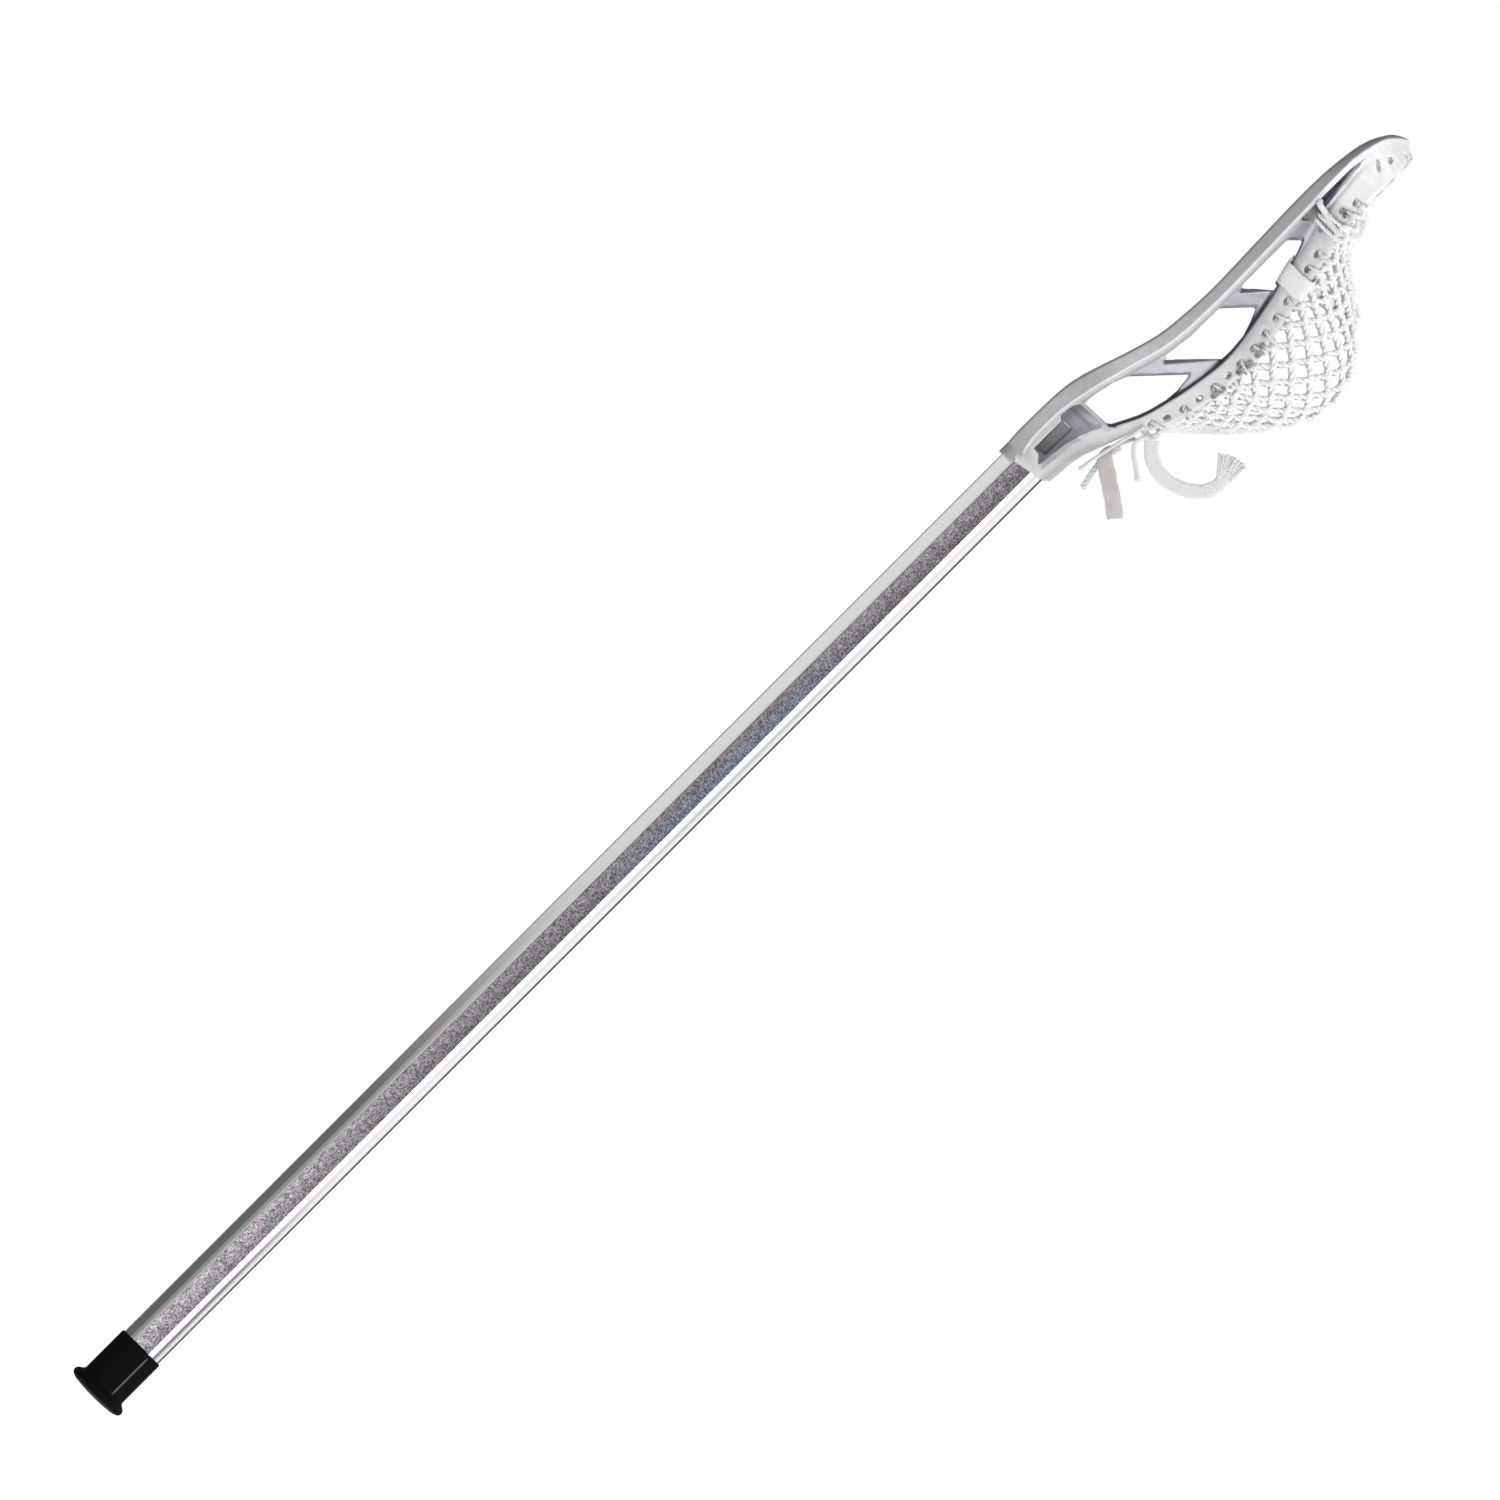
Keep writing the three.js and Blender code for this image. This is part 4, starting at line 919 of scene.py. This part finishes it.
def string_tied_to_net(route, places, axis, slack=1.6, cord=0.8):
    """A three-ply string, with a ring of cord round it and the net's edge at each of those [u, v] places."""
    shape = Shape()
    line = spline(route, 0.8)
    shape.twisted(line, STRING_RADIUS, 3, 5.5)
    first = unit(np.cross(axis, [0.3, 0.2, 0.9]))
    second = np.cross(axis, first)
    angles = np.linspace(0, 2 * math.pi, 15)[:, None]
    for u, v in places:
        on_net = SURFACE.sample([u], [v], NET_DEPTH)[0][0]
        held = line[np.argmin(np.linalg.norm(line - on_net, axis=1))]
        reach = np.linalg.norm(on_net - held) / 2 + slack
        shape.loop((on_net + held) / 2 + (first * np.cos(angles) + second * np.sin(angles)) * reach, cord)
    return shape


def overhand(shape, centre, reach, cord, turn, sides=7):
    """A tied overhand knot that fills the given half sizes."""
    t = np.linspace(0, 2 * math.pi, 61) + turn
    trefoil = [np.sin(t) + 2 * np.sin(2 * t), -1.7 * np.sin(3 * t), np.cos(t) - 2 * np.cos(2 * t)]
    knot = np.stack(trefoil, 1) / 3
    shape.loop(np.asarray(centre) + knot * (np.asarray(reach) - cord), cord, sides)


def add_side_string(side, label):
    route = []
    for z in np.linspace(804, 972, 57):
        depth = below_open_holes(z) - HOLE_ABOVE_EDGE - 1.2
        route.append(rail_place(z, LOWER_RAIL_WIDTH + STRING_INSET, depth, side))
    u = 1 if side > 0 else 0
    shape = string_tied_to_net(route, [(u, row / NET_ROWS) for row in range(1, NET_ROWS, 2)], [0, 0, 1])
    shape.object("side_string_" + label, STRING_CORD, "cord", "sidewall_string_" + label)


def add_rail_loops(side, label):
    """Loops of the side string: out through a hole, over the rail's back edge and in again."""
    shape = Shape()
    for i, z in enumerate(STRUNG_HOLES):
        shift = 1.6 * (-1) ** i
        route = [rail_place(z + shift * share, inset, depth, side) for share, inset, depth in (
            (0, LOWER_RAIL_WIDTH + 3.4, -5.8), (0, LOWER_RAIL_WIDTH - 0.5, -5.2), (0, 2.4, -5.2),
            (0, 0.1, -5.6), (0.3, -1.1, -3.8), (0.7, -1.0, -1.6), (1, 0.6, 0.9), (1, 3.4, 1.4),
            (1, LOWER_RAIL_WIDTH + 1.2, -0.6), (1, LOWER_RAIL_WIDTH + 3.6, -4.2),
        )]
        shape.twisted(spline(route, 0.6), 1.15, 2, 4.5, phase=i)
    for z, size in ((820.5, 2.6), (933, 2.8), (961, 3.2), (968, 3.0)):
        overhand(shape, rail_place(z, -0.3, -1, side), (2.6, size * 0.85, size), 0.85, z)
    shape.object("rail_loops_" + label, STRING_CORD, "cord")


def add_rail_knots(side, label):
    """The side string's dark knots, which sit on the rail's back edge."""
    shape = Shape()
    for i, (z, size) in enumerate(((838, 3.0), (843, 2.6), (857, 3.2), (863, 3.4), (871, 3.2), (875, 2.6))):
        centre = rail_place(z, -0.3, -1.2 + 0.8 * math.sin(i * 2.2), side)
        overhand(shape, centre, (2.6, size * 0.85, size), 0.85, i * 0.9)
    for z, depth, size in ((943.7, 24.7, 2.8), (958.8, 25.4, 2.4)):
        centre = wall_point(station(z, side), lean(z) - 0.5, depth)
        overhand(shape, centre, (2, size * 0.8, size), 0.75, z)
    shape.object("rail_knots_" + label, KNOT_CORD, "cord")


def add_top_string():
    first, last = station(984), station(984, -1)
    inset = LOWER_RAIL_WIDTH + STRING_INSET
    route = []
    for index in np.linspace(first, last, 60).astype(int):
        z = HEAD_LINE[index, 1]
        route.append(wall_point(index, lean(z) + inset, back_edge(z) - HOLE_ABOVE_EDGE + 0.5))
    places = [(column / NET_COLUMNS, 1) for column in range(1, NET_COLUMNS, 2)]
    shape = string_tied_to_net(route, places, [1, 0, 0])
    turns = [(inset - 1, 27.4), (4, 27.6), (1, 27.7), (-0.4, 28.4), (-0.4, 30.6), (1, 32.6), (4, 32.8),
             (inset, 30.5)]
    for x in SCOOP_SLOTS:
        index = first + int(np.argmin(np.abs(HEAD_LINE[first:last, 0] - x)))
        at_rail = lean(HEAD_LINE[index, 1])
        shape.twisted(spline([wall_point(index, at_rail + a, b) for a, b in turns], 0.6), 0.8, 2, 4)
    shape.object("top_string_cord", STRING_CORD, "cord", "top_string")


def add_bottom_string():
    x = np.linspace(-25.5, 25.5, 15)
    route = np.stack([x, 36.6 - 3 * (x / 25.5) ** 2, np.full_like(x, 797)], 1)
    places = [(column / NET_COLUMNS, 0) for column in range(0, NET_COLUMNS + 1, 2)]
    shape = string_tied_to_net(route, places, [1, 0, 0], 1.4, 0.75)
    shape.object("bottom_string_cord", STRING_CORD, "cord", "bottom_string")


def add_shooting_lace(label):
    """A flat lace across the face side of the pocket, drawn in and out of the net."""
    height = SHOOTING_LACE_HEIGHTS[label]
    along = (height - POCKET["throat"] - 1) / (POCKET["edge_top"] - POCKET["throat"] - 1)
    v = np.interp(along, SURFACE.shares, np.linspace(0, 1, len(SURFACE.shares)))
    u = np.linspace(0.02, 0.98, 140)
    wave = np.cos(u * math.pi * NET_COLUMNS)
    line, normal = SURFACE.sample(u, np.full_like(u, v), LACE_DEPTH + wave)
    line = resample(line, 170)
    share = np.linspace(0, 1, len(line))
    normal = unit(np.stack([np.interp(share, u, normal[:, k]) for k in range(3)], 1))
    across = unit(np.cross(normal, tangents(line)))
    shape = Shape()
    shape.sweep(line, flat_section(9, 1.5, 10, 5, 0.25), across, np.cross(tangents(line), across))
    shape.object("shooting_lace_weave_" + label, LACE_WEAVE, "lace", "shooting_lace_" + label)


def rail_turn(angle, z, side, grow):
    """A point on the closed path of a lace round the lower rail."""
    top, bottom = lower_rail_top(z) - 1.4, back_edge(z) + 1.5
    squareness = 0.45
    c, s = math.cos(angle), math.sin(angle)
    wide = math.copysign(abs(c) ** squareness, c) * (LOWER_RAIL_WIDTH / 2 + 1.7 + grow)
    tall = math.copysign(abs(s) ** squareness, s) * ((bottom - top) / 2 + grow)
    slope = 1.6 * max(0.0, -tall / (bottom - top) * 2) * (c > 0)
    inset = lean(z) + LOWER_RAIL_WIDTH / 2 - wide + slope
    return wall_point(station(z, side), inset, (top + bottom) / 2 + tall)


def add_lower_wrap(side, label):
    """Turns of flat lace round the lower rail."""
    shape = Shape()
    turns = 3
    route = []
    for share in np.linspace(0, 1, 150):
        z = 908.6 + 8.4 * share + 0.8 * math.sin(9 * share)
        route.append(rail_turn(-1.2 + 2 * math.pi * turns * share, z, side, 0.35 * share))
    line = resample(spline(route, 0.8), 190)
    along = tangents(line)
    rail = unit(rail_place(920, 0, 0, side) - rail_place(905, 0, 0, side))
    across = unit(rail - along * (along @ rail)[:, None])
    shape.sweep(line, flat_section(8, 1.2, 8, 4, 0.2), across, np.cross(along, across))
    shape.object("lace_turns_" + label, LACE_WEAVE, "lace", "lower_lace_wrap_" + label)


def add_upper_wrap(side, label):
    """The upper lace's strand over the outside of the side wall."""
    shape = Shape()
    route = [wall_point(station(z, side), inset, depth) for z, depth, inset in (
        (955.2, 12.4, 3.6), (954.3, 13.6, 0.2), (953.2, 16.5, 1.0), (951.8, 20, 2.8), (950.4, 23.5, 3.4),
        (949.6, 28, 3.3), (949.4, 32.4, 3.3), (951, 36.5, 5.5),
    )]
    shape.cord(spline(route, 0.6), 1.8, 10)
    shape.object("upper_wrap_cord_" + label, STRING_CORD, "cord", "upper_lace_wrap_" + label)


def add_lace_knot(side, label):
    """The upper lace's knot under the rail: a tied clump, its turns, its ear and two short ends."""
    shape = Shape()
    for spot, reach, cord, turn in (
        ((951.5, 0.2, 0.8), (4.4, 7, 7.5), 1.6, 0.4), ((960, 1.4, 2.2), (4.4, 6.5, 7), 1.5, 2.1),
        ((966.5, 1.6, 0.8), (4.2, 4.6, 5), 1.2, 3.6),
    ):
        overhand(shape, rail_place(*spot, side), reach, cord, turn, 8)
    for start in (944.5, 948, 951.5):
        turn = [rail_turn(angle, start + 3.5 * (angle + 1.5) / (2 * math.pi), side, 0.6)
                for angle in np.linspace(-1.5, 2 * math.pi - 1.3, 24)]
        shape.twisted(spline(turn, 0.7), 1.3, 2, 5, 7, start)
    ear = [rail_place(*spot, side) for spot in (
        (951, 2, 1), (952, 0, 5.5), (956.5, -1, 8.8), (962, -1, 8.2), (965.5, 0, 4.8), (964, 1, 1),
        (959, 2, -1),
    )]
    line = spline(ear, 0.7)
    shape.sweep(line, flat_section(3.2, 1.6, 6), *flat_frame(line))
    for z, end_z in ((949, 943.5), (966, 972)):
        route = [rail_place(z, 1, 0, side), rail_place((z + end_z) / 2, -0.5, 1.5, side),
                 rail_place(end_z, -0.8, 0.6, side)]
        shape.twisted(spline(route, 0.5), 1.3, 2, 5, 7)
    shape.object("lace_knot_clump_" + label, NET_CORD, "cord", "lace_knot_" + label)


for side, label in ((1, "right"), (-1, "left")):
    add_side_string(side, label)
    add_rail_loops(side, label)
    add_rail_knots(side, label)
    add_lower_wrap(side, label)
    add_upper_wrap(side, label)
    add_lace_knot(side, label)
add_top_string()
add_bottom_string()
add_shooting_lace("lower")
add_shooting_lace("upper")
add_net()


# ---------------- studio

def add_floor():
    """A pale floor, low enough to clear the cap when it is pulled off. It leaves the stick's light alone."""
    size, height = 60, -0.05
    corners = [(x * size, y * size, height) for x, y in ((-1, -1), (1, -1), (1, 1), (-1, 1))]
    mesh = bpy.data.meshes.new("floor")
    mesh.from_pydata(corners, [], [(0, 1, 2, 3)])
    paint = Paint("pale_floor", Roughness=0.9, Specular_IOR_Level=0.0)
    paint.set("Base Color", grey(0.5))
    paint.set("Emission Color", grey(1.0))
    paint.set("Emission Strength", 0.84)
    mesh.materials.append(paint.material)
    floor = in_scene("floor", mesh)
    floor.visible_diffuse = False
    floor.visible_glossy = False


def add_softbox(name, location, target, size, power):
    data = bpy.data.lights.new(name, "AREA")
    data.shape = "RECTANGLE"
    data.size, data.size_y = size
    data.energy = power
    light = in_scene(name, data)
    light.location = location
    light.rotation_mode = "QUATERNION"
    light.rotation_quaternion = (Vector(target) - Vector(location)).to_track_quat("-Z", "Y")


def add_world():
    """White to the camera. As light it is bright from the pocket side and dim from the face side."""
    world = bpy.data.worlds.new("studio")
    world.use_nodes = True
    world.node_tree.nodes.clear()
    tree = Nodes(world.node_tree)
    direction = tree.node("TexCoord").outputs["Generated"]
    toward = tree.node("VectorMath", {0: direction, 1: (0.45, 0.62, -0.64)}, operation="DOT_PRODUCT")
    strength = tree.between(toward.outputs["Value"], -0.7, 0.6, 0.36, 1.1)
    light = tree.node("Background", {"Color": grey(1.0), "Strength": strength})
    backdrop = tree.node("Background", {"Color": grey(1.0)})
    seen = tree.node("LightPath").outputs["Is Camera Ray"]
    mix = tree.node("MixShader", {0: seen, 1: light.outputs[0], 2: backdrop.outputs[0]})
    tree.node("OutputWorld", {0: mix.outputs[0]})
    bpy.context.scene.world = world


add_floor()
add_softbox("key", (1.9, 1.5, 0.35), (0, 0, 0.75), (1.2, 1.2), 22)
add_softbox("face_strip", (0.07, -1.7, 0.72), (0.0, 0, 0.72), (0.3, 0.8), 0.62)
add_softbox("scoop", (0.35, 0.7, 2.0), (0, 0.02, 1.0), (0.6, 0.6), 5)
add_world()
bpy.context.scene.view_settings.view_transform = "Standard"
